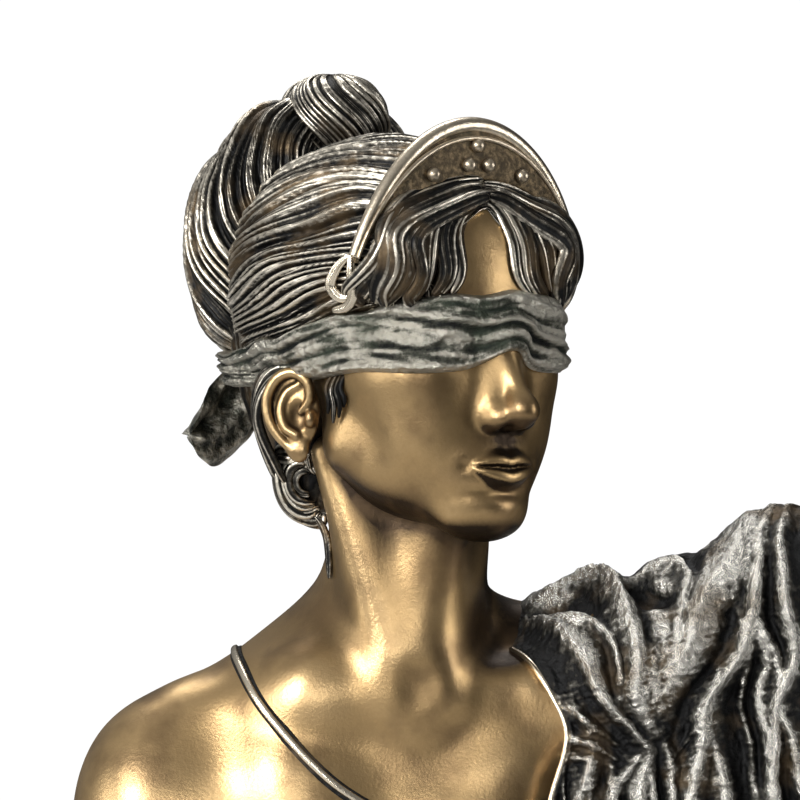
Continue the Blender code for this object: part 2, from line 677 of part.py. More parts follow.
def main():
    for ob in list(bpy.data.objects):
        bpy.data.objects.remove(ob)
    figure = collection("justice_bust")
    cutters = collection("cutters", True)
    inflated("head", figure, head_field, (0, 0.02, 0.48), 0.9, 96, 72, True)
    inflated("chest", figure, body_field, (0, 0.06, -0.72), 0.02, 120, 80, roof=-0.31)
    inflated("shoulder", figure, body_field, (-0.33, 0.05, -0.50), 0.02, 90, 60, widest=0.44)
    inflated("upper_arm", figure, body_field, (-0.63, 0.045, -0.86), 0.02, 72, 60, widest=0.5)
    inflated("collar", figure, body_field, (0.02, 0.05, -0.46), 0.02, 90, 60, widest=0.40)
    inflated("neck", figure, body_field, (0.01, 0.03, -0.12), 0.02, 80, 60, widest=0.36)
    build_hair(figure)
    build_diadem(figure)
    build_band(figure)
    build_ears(figure)
    build_cloth(figure)
    build_dress(figure)
    t = np.linspace(0, 1, 8)[:, None]
    arm = np.array((0.62, 0.03, -0.27)) * (1 - t) + np.array((1.20, -0.04, 0.025)) * t
    cord("arm", figure, arm, np.linspace(0.16, 0.125, 8), 8)

    bust = joined("justice_bust", figure, list(figure.objects))
    grain = bust.modifiers.new("grain", "REMESH")
    grain.mode = "VOXEL"
    grain.voxel_size = VOXEL * HEAD
    applied(bust)
    thin = bust.modifiers.new("facets", "DECIMATE")
    thin.ratio = TRIANGLES / (2 * len(bust.data.polygons))
    thin.use_collapse_triangulate = True
    applied(bust)

    wide = 2.0 * HEAD
    low = block("below", cutters, (-wide, -wide, -wide), (wide, wide, 0))
    side = block("beyond_arm", cutters, (CUT_ARM * HEAD, -wide, -wide), (wide * 2, wide, wide * 2))
    for name, cutter in (("flat_underside", low), ("flat_arm_end", side)):
        cut = bust.modifiers.new(name, "BOOLEAN")
        cut.operation = "DIFFERENCE"
        cut.solver = "EXACT"
        cut.object = cutter
    bust.data.materials.append(material("bronze", (0.42, 0.27, 0.12)))


main()
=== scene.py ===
"""Bust of blindfolded Justice in cold-cast bronze, with its hair, cloth and skin carved fine.

Sizes are shares of the head's height, counted up from the chin, and become metres in piece().
Head points are (to her left, forward, up) from the ear axis above the chin.
"""
import math

import bpy
import numpy as np
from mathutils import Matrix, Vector


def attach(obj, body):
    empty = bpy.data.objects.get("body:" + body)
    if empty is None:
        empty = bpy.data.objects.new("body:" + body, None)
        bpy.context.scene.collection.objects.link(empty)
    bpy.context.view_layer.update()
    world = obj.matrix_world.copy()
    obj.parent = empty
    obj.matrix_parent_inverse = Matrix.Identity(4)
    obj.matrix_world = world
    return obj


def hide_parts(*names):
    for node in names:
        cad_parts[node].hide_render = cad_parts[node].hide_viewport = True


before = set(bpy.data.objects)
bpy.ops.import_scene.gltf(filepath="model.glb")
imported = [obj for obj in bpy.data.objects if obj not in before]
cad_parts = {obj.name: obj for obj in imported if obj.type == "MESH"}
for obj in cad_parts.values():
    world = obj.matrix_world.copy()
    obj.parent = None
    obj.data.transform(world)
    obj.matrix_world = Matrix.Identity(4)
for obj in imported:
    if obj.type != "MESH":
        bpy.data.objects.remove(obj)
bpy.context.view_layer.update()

HEAD = 0.0446             # chin to crown, in metres
TURN = math.radians(38)   # of the head, to her left
AXIS = (0.0, -0.03)       # the upright that the head turns round
CUT_LOW = 1.035           # the flat underside, below the chin
CLOTH_END = 1.02          # the cloth's cut end, and the lifted arm's
CUT_ARM = 1.10
CLOTH_THICK = 0.028
FINE = 1.0
FULL = 2 * math.pi
REACH = 0.8               # from inside the head to well outside it
HEAD_NET, BODY_NET, EAR_NET = 0.0071, 0.0150, 0.0042

s_turn, c_turn = math.sin(TURN), math.cos(TURN)


# ---------------------------------------------------------------- blended forms

def ball(p, centre, radii):
    """Distance to an ellipsoid: k0 (k0 - 1) / k1, with k0 the length of q / r and k1 that of q / r squared."""
    q = p - np.asarray(centre, float)
    r = np.asarray(radii, float) * np.ones(3)
    k0 = np.sqrt(((q / r) ** 2).sum(-1))
    k1 = np.sqrt(((q / (r * r)) ** 2).sum(-1))
    return k0 * (k0 - 1) / np.maximum(k1, 1e-6)


def limb(p, start, end, r0, r1):
    """Distance to a round-ended rod: to its nearest axis point, less a radius running from r0 to r1."""
    a = np.asarray(start, float)
    d = np.asarray(end, float) - a
    q = p - a
    t = np.clip((q @ d) / float(d @ d), 0, 1)
    return np.sqrt(((q - t[..., None] * d) ** 2).sum(-1)) - (r0 + (r1 - r0) * t)


def melt(a, b, k):
    """Union with a fillet: the smaller of both, less a quarter of k times the squared closeness."""
    h = np.maximum(k - np.abs(a - b), 0) / k
    return np.minimum(a, b) - h * h * k * 0.25


def scoop(a, b, k):
    """a with b cut out, its edge rounded over k."""
    h = np.maximum(k - np.abs(a + b), 0) / k
    return np.maximum(a, -b) + h * h * k * 0.25


def smooth(t):
    """0 below 0, 1 above 1, and 3 t squared less 2 t cubed between."""
    t = np.clip(t, 0, 1)
    return t * t * (3 - 2 * t)


def to_head(p):
    """Points in the head's own frame: less the axis, turned by TURN, forward for minus y."""
    x, y = p[..., 0] - AXIS[0], p[..., 1] - AXIS[1]
    return np.stack([x * c_turn + y * s_turn, x * s_turn - y * c_turn, p[..., 2]], -1)


def from_head(q):
    """Points back out of the head's own frame: turned the other way, plus the axis."""
    q = np.asarray(q, float)
    a, b, up = q[..., 0], q[..., 1], q[..., 2]
    return np.stack([a * c_turn + b * s_turn + AXIS[0], a * s_turn - b * c_turn + AXIS[1], up], -1)


def head_field(q):
    """Skull, jaw, cheeks, nose, mouth and chin, on the usual thirds of a face."""
    d = ball(q, (0, -0.02, 0.64), (0.325, 0.42, 0.36))
    d = melt(d, ball(q, (0, 0.135, 0.40), (0.258, 0.275, 0.33)), 0.12)
    for m in (-1, 1):
        d = melt(d, limb(q, (m * 0.185, 0.06, 0.235), (m * 0.06, 0.315, 0.085), 0.075, 0.066), 0.08)
        d = melt(d, ball(q, (m * 0.155, 0.255, 0.405), (0.085, 0.10, 0.075)), 0.10)
        d = melt(d, ball(q, (m * 0.105, 0.27, 0.265), (0.11, 0.10, 0.13)), 0.08)
    d = melt(d, ball(q, (0, 0.15, 0.165), (0.17, 0.21, 0.10)), 0.08)
    d = melt(d, ball(q, (0, 0.345, 0.19), (0.115, 0.075, 0.105)), 0.06)
    d = melt(d, ball(q, (0, 0.335, 0.085), (0.075, 0.078, 0.070)), 0.06)
    d = melt(d, limb(q, (-0.13, 0.34, 0.535), (0.13, 0.34, 0.535), 0.05, 0.05), 0.08)
    for m in (-1, 1):
        d = scoop(d, ball(q, (m * 0.125, 0.435, 0.475), (0.075, 0.05, 0.045)), 0.05)
        d = melt(d, ball(q, (m * 0.12, 0.335, 0.475), (0.06, 0.055, 0.055)), 0.02)
    d = melt(d, limb(q, (0, 0.385, 0.515), (0, 0.487, 0.332), 0.021, 0.024), 0.06)
    for m in (-1, 1):
        d = melt(d, limb(q, (m * 0.018, 0.370, 0.450), (m * 0.034, 0.412, 0.335), 0.026, 0.030), 0.05)
    d = melt(d, ball(q, (0, 0.488, 0.319), (0.030, 0.031, 0.028)), 0.05)
    for m in (-1, 1):
        d = melt(d, ball(q, (m * 0.045, 0.430, 0.302), (0.022, 0.036, 0.025)), 0.034)
    d = melt(d, limb(q, (0, 0.484, 0.293), (0, 0.425, 0.280), 0.014, 0.014), 0.016)
    for m in (-1, 1):
        d = scoop(d, ball(q, (m * 0.026, 0.455, 0.276), (0.012, 0.022, 0.011)), 0.012)
    return d - mouth(q)


def mouth(q):
    """Height of the lips over the face: each swells from the line between them, and 1 - w squared thins
    them to the corners; less the line, the corners, the groove above and the dip below."""
    a, b, z = q[..., 0], q[..., 1], q[..., 2]
    w = np.clip(np.abs(a) / 0.096, 0, 1)
    full = 1 - w * w
    part = 0.185 - 0.004 * np.exp(-(a / 0.020) ** 2) + 0.003 * w * w
    up = (z - part) / (0.034 * full * (1 - 0.14 * np.exp(-(a / 0.012) ** 2)) + 0.005)
    down = (part - z) / (0.041 * full + 0.005)
    upper = smooth(0.35 + up / 0.5) * smooth((1.35 - up) / 0.80)
    lower = smooth(0.35 + down / 0.5) * smooth((1.35 - down) / 0.75)
    lips = np.where(z > part, 0.017 * upper, 0.021 * lower) * np.sqrt(full)
    line = 0.004 * np.exp(-((z - part) / 0.006) ** 2) * smooth((1.10 - np.abs(a) / 0.096) / 0.3)
    corner = 0.005 * np.exp(-((np.abs(a) - 0.104) / 0.014) ** 2 - ((z - part) / 0.015) ** 2)
    above = smooth((z - 0.212) / 0.02) * smooth((0.285 - z) / 0.02)
    groove = above * 0.003 * np.exp(-(a / 0.015) ** 2)
    dip = 0.012 * np.exp(-((z - 0.123) / 0.020) ** 2 - (a / 0.075) ** 2)
    return (lips - line - corner - groove - dip) * smooth((b - 0.28) / 0.08)


def chest_field(p):
    """Rib cage and breasts."""
    d = ball(p, (0, 0.08, -0.834), (0.43, 0.30, 0.62))
    d = melt(d, ball(p, (0, 0.20, -0.634), (0.46, 0.17, 0.42)), 0.15)
    for x in (-0.21, 0.21):
        d = melt(d, limb(p, (x, -0.05, -0.634), (x * 1.02, -0.13, -0.914), 0.12, 0.185), 0.12)
        d = melt(d, ball(p, (x * 1.05, -0.17, -0.984), (0.195, 0.185, 0.195)), 0.06)
    return d


def body_field(p):
    """Chest, neck, the bare shoulder and arm, and the lifted one."""
    d = chest_field(p)
    d = melt(d, limb(p, (0.015, -0.005, 0.17), (0.01, 0.055, -0.414), 0.185, 0.205), 0.12)
    d = melt(d, limb(p, (-0.08, 0.12, -0.194), (-0.56, 0.09, -0.509), 0.12, 0.10), 0.14)
    d = melt(d, limb(p, (-0.30, -0.02, -0.594), (-0.54, -0.00, -0.700), 0.16, 0.14), 0.20)
    d = melt(d, ball(p, (-0.62, 0.03, -0.700), (0.185, 0.19, 0.27)), 0.16)
    d = melt(d, limb(p, (-0.625, 0.04, -0.754), (-0.655, 0.08, -1.554), 0.16, 0.145), 0.05)
    d = melt(d, limb(p, (0.09, 0.12, -0.230), (0.54, 0.08, -0.300), 0.10, 0.125), 0.10)
    d = melt(d, ball(p, (0.56, 0.04, -0.324), (0.2, 0.19, 0.2)), 0.08)
    d = melt(d, limb(p, (0.56, 0.04, -0.304), (1.25, -0.04, 0.05), 0.16, 0.135), 0.08)
    d = melt(d, limb(p, (0.30, 0.0, -0.534), (0.5, 0.02, -0.404), 0.17, 0.16), 0.12)
    d = melt(d, ball(p, (-0.16, -0.035, -0.330), (0.13, 0.09, 0.07)), 0.16)
    d = melt(d, limb(p, (-0.01, -0.112, -0.384), (-0.22, -0.100, -0.380), 0.022, 0.006), 0.16)
    d = melt(d, limb(p, (-0.22, -0.100, -0.380), (-0.50, 0.02, -0.430), 0.006, 0.012), 0.20)
    d = melt(d, limb(p, (0.08, -0.112, -0.384), (0.30, -0.100, -0.350), 0.024, 0.018), 0.16)
    d = melt(d, limb(p, (-0.178, -0.118, 0.22), (0.012, -0.168, -0.354), 0.036, 0.024), 0.12)
    d = melt(d, limb(p, (0.180, 0.120, 0.22), (0.072, -0.168, -0.354), 0.036, 0.024), 0.12)
    d = melt(d, limb(p, (0.10, -0.16, 0.046), (0.05, -0.12, -0.274), 0.07, 0.06), 0.08)
    return scoop(d, ball(p, (0.045, -0.268, -0.362), (0.020, 0.035, 0.022)), 0.12)


def hair_field(q):
    """The close mass of hair under the locks."""
    d = ball(q, (0, -0.06, 0.63), (0.362, 0.43, 0.35))
    d = melt(d, ball(q, (0, -0.27, 0.42), (0.26, 0.17, 0.27)), 0.10)
    for m in (-1, 1):
        d = melt(d, ball(q, (m * 0.18, 0.19, 0.70), (0.14, 0.16, 0.15)), 0.08)
        d = melt(d, ball(q, (m * 0.150, -0.175, 0.17), (0.080, 0.085, 0.125)), 0.06)
        d = melt(d, ball(q, (m * 0.190, -0.130, 0.310), (0.085, 0.075, 0.085)), 0.05)
    return d


def crown_field(q):
    """Head and hair, melted together."""
    return melt(head_field(q), hair_field(q), 0.02)


def whole_field(p):
    """Head with its hair, or body: the nearer of the two."""
    return np.minimum(crown_field(to_head(p)), body_field(p))


def cast(field, start, way, reach):
    """Length from start along way to a field's skin: from reach it steps back by 0.75 of the field's value."""
    start = np.asarray(start, float)
    r = np.full(way.shape[:-1], float(reach))
    for _ in range(70):
        r = np.maximum(r - 0.75 * field(start + way * r[..., None]), 0.02)
    return r


def settled(field, p, lift):
    """Points moved square on to the skin of a field, by Newton steps, and lifted off it."""
    step = 0.004
    for _ in range(6):
        d = field(p)
        rise = [field(p + step * e) - field(p - step * e) for e in np.eye(3)]
        slope = np.stack(rise, -1) / (2 * step)
        size = np.maximum(np.linalg.norm(slope, axis=-1), 0.2)
        p = p - ((d - lift) / size)[..., None] * slope / size[..., None]
    return p


# ---------------------------------------------------------------- making pieces

def count(n):
    """A number of rows: n times FINE, and at least 6."""
    return max(int(round(n * FINE)), 6)


def span(start, end, n, ring=False):
    """Even steps from start to end; a ring's last step is its first again and is left off."""
    return np.linspace(start, end, count(n), endpoint=not ring)


def crossed(rows, cols):
    """A grid of every row value with every column value."""
    return np.meshgrid(rows, cols, indexing="ij")


def rays(turn, lean):
    """Directions at a turn from forward and a lean up: sine and cosine of turn, times the cosine of lean."""
    return np.stack([np.sin(turn) * np.cos(lean), np.cos(turn) * np.cos(lean), np.sin(lean)], -1)


def capped(rows):
    """Rows with the first and the last one twice, to go with a tube's closed ends."""
    return np.concatenate([rows[:1], rows, rows[-1:]])


def drawn_in(row):
    """A row of points all moved to their middle, which closes an end."""
    return np.repeat(row.mean(1, keepdims=True), row.shape[1], 1)


def smoothed(co, edges, rounds):
    """Each point moved 0.7 of the way to its neighbours' middle, over and over."""
    n = len(co)
    number = np.bincount(edges.ravel(), minlength=n).astype(float)[:, None]
    both = np.concatenate([edges[:, 0], edges[:, 1]])
    other = np.concatenate([edges[:, 1], edges[:, 0]])
    for _ in range(rounds):
        near = np.stack([np.bincount(both, weights=co[other, i], minlength=n) for i in range(3)], -1)
        co = 0.3 * co + 0.7 * near / np.maximum(number, 1)
    return co


# How far out other forms are looked for in front of a point, and how much painted shade each reach adds.
PAINTED_SHADE_REACHES = ((0.05, 0.34), (0.16, 0.50))


def piece(name, co, faces, material, rounds, depth, inside=None, carved=None, near=None, under=0.0,
          shade_reaches=PAINTED_SHADE_REACHES):
    """A mesh from points and quads; its hollow attribute is 0 on crests and 1 in grooves.

    The value is 0.5 plus how far smoothing lifts a point, over depth, once finely and once widely, as patina
    gathers in hollows. Where carved is given, 1 on its crests and 0 in its grooves, it counts for most of it.
    Where near is a field, points with another form close in front of them get painted shade, more the closer it
    lies; the pairs of reach and share hold how close and how much. Under is painted shade added for faces that
    look down.
    """
    co = np.asarray(co, float).reshape(-1, 3)
    faces = np.asarray(faces)
    a, b, c = (co[faces[:, i]] for i in (0, 1, 2))
    normal = np.cross(b - a, c - a)
    middle = (a + c) / 2
    facing = (normal * (middle - (co.mean(0) if inside is None else np.asarray(inside)))).sum()
    if facing < 0:
        faces = faces[:, ::-1]
    world = (co + (0, 0, CUT_LOW)) * HEAD
    mesh = bpy.data.meshes.new(name)
    mesh.vertices.add(len(world))
    mesh.vertices.foreach_set("co", world.ravel())
    mesh.loops.add(faces.size)
    mesh.loops.foreach_set("vertex_index", faces.ravel())
    mesh.polygons.add(len(faces))
    mesh.polygons.foreach_set("loop_start", np.arange(0, faces.size, 4))
    mesh.update(calc_edges=True)
    mesh.validate()
    mesh.shade_smooth()
    edges = np.empty(len(mesh.edges) * 2, int)
    mesh.edges.foreach_get("vertices", edges)
    edges = edges.reshape(-1, 2)
    normals = np.empty(len(world) * 3)
    mesh.vertices.foreach_get("normal", normals)
    normals = normals.reshape(-1, 3)
    fine = ((smoothed(co, edges, rounds) - co) * normals).sum(1) / depth
    wide = ((smoothed(co, edges, rounds * 4) - co) * normals).sum(1) / (depth * 2.5)
    patina_and_shade = 0.5 + 0.5 * fine + 0.35 * wide
    if carved is not None:
        patina_and_shade = 0.92 - 0.85 * np.clip(np.ravel(carved), 0, 1) + 0.25 * fine + 0.30 * wide
    # Painted shade: a point darkens where another form lies close in front of it.
    if near is not None:
        for reach, share in shade_reaches:
            patina_and_shade += share * np.clip(0.85 - near(co + reach * normals) / reach, 0, 1)
    # Painted shade: faces that look down are darkened.
    patina_and_shade += under * smooth((-0.25 - normals[:, 2]) / 0.55)
    patina_and_shade = np.clip(patina_and_shade, 0, 1)
    layer = mesh.attributes.new("patina_and_shade", "FLOAT", "POINT")
    layer.data.foreach_set("value", patina_and_shade.astype(np.float32))
    mesh.materials.append(material)
    ob = bpy.data.objects.new(name, mesh)
    bpy.context.scene.collection.objects.link(ob)
    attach(ob, "root")
    return ob


def quads(rows, cols, wrap_rows=False, wrap_cols=False):
    """Quads of a grid of points, closed round either way where asked."""
    i, j = crossed(np.arange(rows if wrap_rows else rows - 1), np.arange(cols if wrap_cols else cols - 1))
    i2, j2 = (i + 1) % rows, (j + 1) % cols
    return np.stack([i * cols + j, i2 * cols + j, i2 * cols + j2, i * cols + j2], -1).reshape(-1, 4)


def sheet_piece(name, grid, material, wrap_rows=False, wrap_cols=False, **more):
    """A piece from a grid of points, closed round where asked."""
    rows, cols = grid.shape[:2]
    return piece(name, grid, quads(rows, cols, wrap_rows, wrap_cols), material, **more)


def nets(field, low, high, step):
    """A surface round a field: in each lattice cell that its skin crosses, a point at the mean of the
    crossings, and a quad across each crossed edge. Cells k times as wide are looked at first."""
    k, batch = 4, 300000

    def split(cells):
        return cells.repeat(k, 0).repeat(k, 1).repeat(k, 2)

    low, high = np.asarray(low, float), np.asarray(high, float)
    n = np.ceil((high - low) / (step * k)).astype(int)
    ax = [low[i] + step * k * (np.arange(n[i]) + 0.5 - 0.5 / k) for i in range(3)]
    coarse = field(np.stack(np.meshgrid(*ax, indexing="ij"), -1))
    f = split(coarse)
    mask = split(np.abs(coarse) < step * k * 1.6)
    spots = np.argwhere(mask)
    f[mask] = np.concatenate([field(low + step * spots[s:s + batch]) for s in range(0, len(spots), batch)])
    shape = tuple(m - 1 for m in f.shape)
    size = int(np.prod(shape))
    number = np.zeros(size)
    total = np.zeros((size, 3))
    out = []
    for axis in range(3):
        first, second = [slice(None)] * 3, [slice(None)] * 3
        first[axis], second[axis] = slice(0, -1), slice(1, None)
        fa, fb = f[tuple(first)], f[tuple(second)]
        cross = (fa < 0) != (fb < 0)
        at = np.argwhere(cross)
        place = at.astype(float)
        place[:, axis] += fa[cross] / (fa[cross] - fb[cross])
        o1, o2 = (axis + 1) % 3, (axis + 2) % 3
        ring = []
        for d1, d2 in ((0, 0), (-1, 0), (-1, -1), (0, -1)):
            cell = at.copy()
            cell[:, o1] += d1
            cell[:, o2] += d2
            ring.append(cell)
        fits = np.all([(c >= 0).all(1) & (c < np.array(shape)).all(1) for c in ring], axis=0)
        ids = [np.ravel_multi_index(c[fits].T, shape) for c in ring]
        for flat in ids:
            number += np.bincount(flat, minlength=size)
            for i in range(3):
                total[:, i] += np.bincount(flat, weights=place[fits][:, i], minlength=size)
        quad = np.stack(ids, 1)
        out.append(np.where((fa[cross] < 0)[fits][:, None], quad, quad[:, ::-1]))
    out = np.concatenate(out)
    used = np.unique(out)
    back = np.full(size, -1)
    back[used] = np.arange(len(used))
    return low + step * total[used] / number[used][:, None], back[out]


def path_through(points, number):
    """Points on a smooth line through a few given ones: between each two, a cubic of the four nearest."""
    pts = np.asarray(points, float)
    full = np.vstack([2 * pts[0] - pts[1], pts, 2 * pts[-1] - pts[-2]])
    spans = len(pts) - 1
    u = np.linspace(0, spans, number)
    k = np.minimum(u.astype(int), spans - 1)
    t = (u - k)[:, None]
    a, b, c, d = full[k], full[k + 1], full[k + 2], full[k + 3]
    square, cube = 2 * a - 5 * b + 4 * c - d, 3 * b - a - 3 * c + d
    return 0.5 * (2 * b + (c - a) * t + square * t * t + cube * t ** 3)


def unit(v):
    """Vectors over their own lengths."""
    return v / np.maximum(np.linalg.norm(v, axis=-1), 1e-9)[..., None]


def strands(u, v, pitch, seed, drift=0.4):
    """Combed hair: uneven strands side by side along u, each a half round with its own height.

    The profile over a strand is 1 - (2t - 1) squared, to the power 0.75, and the lines wander along v.
    """
    rng = np.random.default_rng(seed)
    span = float(u.max() - u.min()) + 8 * pitch
    widths = pitch * np.exp(rng.normal(0, 0.35, int(span / pitch * 1.6) + 8))
    marks = u.min() - 4 * pitch + np.cumsum(widths)
    tall = rng.uniform(0.45, 1.0, len(marks) + 1)
    phase = rng.uniform(0, 6.3, 3)
    w = u + drift * pitch * (np.sin(2.1 * v / pitch * 0.06 + 9 * u + phase[0])
                             + 0.7 * np.sin(0.13 * v / pitch + 23 * u + phase[1]))
    k = np.clip(np.searchsorted(marks, w), 1, len(marks) - 1)
    t = (w - marks[k - 1]) / (marks[k] - marks[k - 1])
    return np.clip(1 - (2 * t - 1) ** 2, 0, 1) ** 0.75 * tall[k]


def combed(u, v, seed, pitch=0.026, lock=0.075):
    """Strands over broader locks, with hairs on them: a weighted sum, about 0 in grooves and 1 on crests."""
    hairs = strands(u, v, pitch * 0.42, seed, 0.3)
    main = strands(u + 0.03 * v, v, pitch, seed + 1, 0.5)
    broad = strands(u, v, lock, seed + 2, 0.8)
    return 0.18 * hairs + 0.52 * main + 0.38 * broad


def creases(u, v, pitch, seed, drift=0.4):
    """Thin crest lines between broad hollows: the strands' crests alone, to the fourth power."""
    return strands(u, v, pitch, seed, drift) ** 4


def mottle(p, size, seed):
    """Hammered unevenness, about -1 to 1: the sum of a dozen sine waves running every way, over five."""
    rng = np.random.default_rng(seed)
    total = np.zeros(p.shape[:-1])
    for _ in range(12):
        way = rng.normal(size=3)
        way *= FULL / (size * rng.uniform(0.6, 1.7) * np.linalg.norm(way))
        total += np.sin(p @ way + rng.uniform(0, 6.3))
    return total / 5


def eased(path, rounds):
    """A path with its small kinks worn away; its ends stay."""
    path = np.array(path, float)
    for _ in range(rounds):
        path[1:-1] = 0.5 * path[1:-1] + 0.25 * (path[:-2] + path[2:])
    return path


def tube(path, up, wide, high, sides, carve=None, wind=0.0):
    """A closed cord along a path; up is its flat side's normal, and carve(angle, along) adds to its radius.

    Its lines wind round it by wind radians for each unit of length, to run with the strands carved in it.
    """
    n = len(path)
    way = unit(np.gradient(path, axis=0))
    side = unit(np.cross(way, up))
    top = unit(np.cross(side, way))
    angle = np.linspace(0, FULL, sides, endpoint=False)
    length = np.concatenate([[0], np.cumsum(np.linalg.norm(np.diff(path, axis=0), axis=1))])
    along, turn = crossed(length, angle)
    turn = turn - wind * along
    extra = 0 if carve is None else carve(turn, along)
    wide = (np.ones(n) * wide)[:, None] + extra
    high = (np.ones(n) * high)[:, None] + extra
    ring = (path[:, None] + side[:, None] * (np.cos(turn) * wide)[..., None]
            + top[:, None] * (np.sin(turn) * high)[..., None])
    first = np.repeat(path[:1][:, None], sides, 1)
    last = np.repeat(path[-1:][:, None], sides, 1)
    return np.concatenate([first, ring, last])


def taper(n, ends, power):
    """Shares of full size along a lock: from ends up to 1 and back, by a half sine to a power."""
    t = np.linspace(0, 1, n)
    return ends + (1 - ends) * np.sin(np.pi * t) ** power


# ---------------------------------------------------------------- finishes

HAMMER_DEEP = 0.00045


def node(tree, kind, x, y, values=(), **sets):
    """A node at (x, y): first its settings, then the values of its inputs."""
    n = tree.nodes.new(kind)
    n.location = (x, y)
    for key, value in sets.items():
        setattr(n, key, value)
    for key, value in dict(values).items():
        n.inputs[key].default_value = value
    return n


def mapped(tree, x, y, low, high, start=0.0, end=1.0):
    """A node that lays low to high on start to end."""
    return node(tree, "ShaderNodeMapRange", x, y,
                {"From Min": low, "From Max": high, "To Min": start, "To Max": end})


def join(tree, *links):
    """Links, each from a node's output to another's input."""
    for giver, output, taker, entry in links:
        tree.links.new(giver.outputs[output], taker.inputs[entry])


def wear_and_shade_group():
    """Gives the value of patina and painted shade broken by noise, which is that value + Breaking (noise - 0.5)
    kept within 0 and 1, and beside it the noise as grain, soft clouds, and hammer marks: distances to scattered
    points."""
    tree = bpy.data.node_groups.new("crest_wear_and_painted_shade", "ShaderNodeTree")
    for way, names in (("INPUT", ("Scale", "Breaking")), ("OUTPUT", ("Patina_Shade", "Grain", "Cloud", "Hammer"))):
        for name in names:
            tree.interface.new_socket(name, in_out=way, socket_type="NodeSocketFloat")
    ins = node(tree, "NodeGroupInput", -900, 0)
    outs = node(tree, "NodeGroupOutput", 600, 0)
    # Reads the stored value of patina in hollows, with painted shade and painted light in it.
    attr = node(tree, "ShaderNodeAttribute", -900, 200, attribute_name="patina_and_shade")
    place = node(tree, "ShaderNodeTexCoord", -900, -200)
    grain = node(tree, "ShaderNodeTexNoise", -500, -100, {"Detail": 5, "Roughness": 0.65})
    cloud = node(tree, "ShaderNodeTexNoise", -500, -400, {"Scale": 160, "Detail": 3})
    marks = node(tree, "ShaderNodeTexVoronoi", -500, -700, {"Scale": 1050})
    level = node(tree, "ShaderNodeMath", -350, 100, {1: 0.5}, operation="SUBTRACT")
    shift = node(tree, "ShaderNodeMath", -200, 100, operation="MULTIPLY")
    add = node(tree, "ShaderNodeMath", 100, 150, operation="ADD", use_clamp=True)
    join(tree, (place, "Object", grain, "Vector"), (place, "Object", cloud, "Vector"),
         (place, "Object", marks, "Vector"), (ins, "Scale", grain, "Scale"), (grain, "Fac", level, 0),
         (level, 0, shift, 0), (ins, "Breaking", shift, 1), (attr, "Fac", add, 0), (shift, 0, add, 1),
         (add, 0, outs, "Patina_Shade"), (grain, "Fac", outs, "Grain"), (cloud, "Fac", outs, "Cloud"),
         (marks, "Distance", outs, "Hammer"))
    return tree


WEAR_AND_SHADE = wear_and_shade_group()


def bronze(name, crest, middle, deep, other, scale, rough, metal, bump, breaking,
           stops=(0.30, 0.52, 0.78), share=(0.52, 0.68), deep_bump=0.0004, hammer=0.0):
    """Bronze powder casting: crest colour on what is rubbed, middle, deep in the grooves, other in clouds.

    Colour, roughness and metal each run between two or three values along the broken value of patina with
    painted light and shade, and the clouds between the values of share lay the other colour over by up to 0.6.
    """
    mat = bpy.data.materials.new(name)
    mat.use_nodes = True
    tree = mat.node_tree
    shader = tree.nodes["Principled BSDF"]
    group = node(tree, "ShaderNodeGroup", -900, 0, {"Scale": scale, "Breaking": breaking}, node_tree=WEAR_AND_SHADE)
    ramp = node(tree, "ShaderNodeValToRGB", -600, 200)
    stop = ramp.color_ramp.elements
    stop[0].position, stop[0].color = stops[0], (*crest, 1)
    stop[1].position, stop[1].color = stops[2], (*deep, 1)
    stop.new(stops[1]).color = (*middle, 1)
    spread = mapped(tree, -600, -100, *share)
    cover = node(tree, "ShaderNodeMath", -420, -100, {1: 0.6}, operation="MULTIPLY")
    tint = node(tree, "ShaderNodeMix", -250, 150, {7: (*other, 1)}, data_type="RGBA")
    dull = mapped(tree, -600, -350, 0.2, 0.8, *rough)
    shine = mapped(tree, -600, -600, 0.35, 0.85, *metal)
    marks = node(tree, "ShaderNodeBump", -450, -700, {"Strength": hammer, "Distance": HAMMER_DEEP})
    dent = node(tree, "ShaderNodeBump", -250, -500, {"Strength": bump, "Distance": deep_bump})
    join(tree, (group, "Patina_Shade", ramp, "Fac"), (group, "Cloud", spread, "Value"), (spread, "Result", cover, 0),
         (cover, 0, tint, "Factor"), (ramp, "Color", tint, 6), (tint, 2, shader, "Base Color"),
         (group, "Patina_Shade", dull, "Value"), (dull, "Result", shader, "Roughness"),
         (group, "Patina_Shade", shine, "Value"), (shine, "Result", shader, "Metallic"),
         (group, "Hammer", marks, "Height"), (group, "Grain", dent, "Height"),
         (marks, "Normal", dent, "Normal"), (dent, "Normal", shader, "Normal"))
    return mat


SKIN = bronze("skin_bronze", (0.70, 0.50, 0.27), (0.42, 0.28, 0.13), (0.028, 0.017, 0.009),
              (0.16, 0.10, 0.05), scale=2600, rough=(0.27, 0.42), metal=(0.95, 0.8), bump=0.12,
              breaking=0.10, stops=(0.22, 0.52, 0.88), share=(0.48, 0.66))
HAIR = bronze("hair_bronze", (0.74, 0.68, 0.57), (0.062, 0.056, 0.046), (0.003, 0.003, 0.003),
              (0.15, 0.10, 0.05), scale=1200, rough=(0.30, 0.6), metal=(0.95, 0.4), bump=0.3,
              breaking=0.5, stops=(0.12, 0.34, 0.52))
CLOTH = bronze("cloth_bronze", (0.57, 0.55, 0.50), (0.085, 0.080, 0.068), (0.003, 0.003, 0.003),
               (0.14, 0.095, 0.05), scale=1800, rough=(0.25, 0.6), metal=(0.95, 0.4), bump=0.55,
               breaking=0.62, stops=(0.08, 0.36, 0.60), deep_bump=0.0006, hammer=0.50)
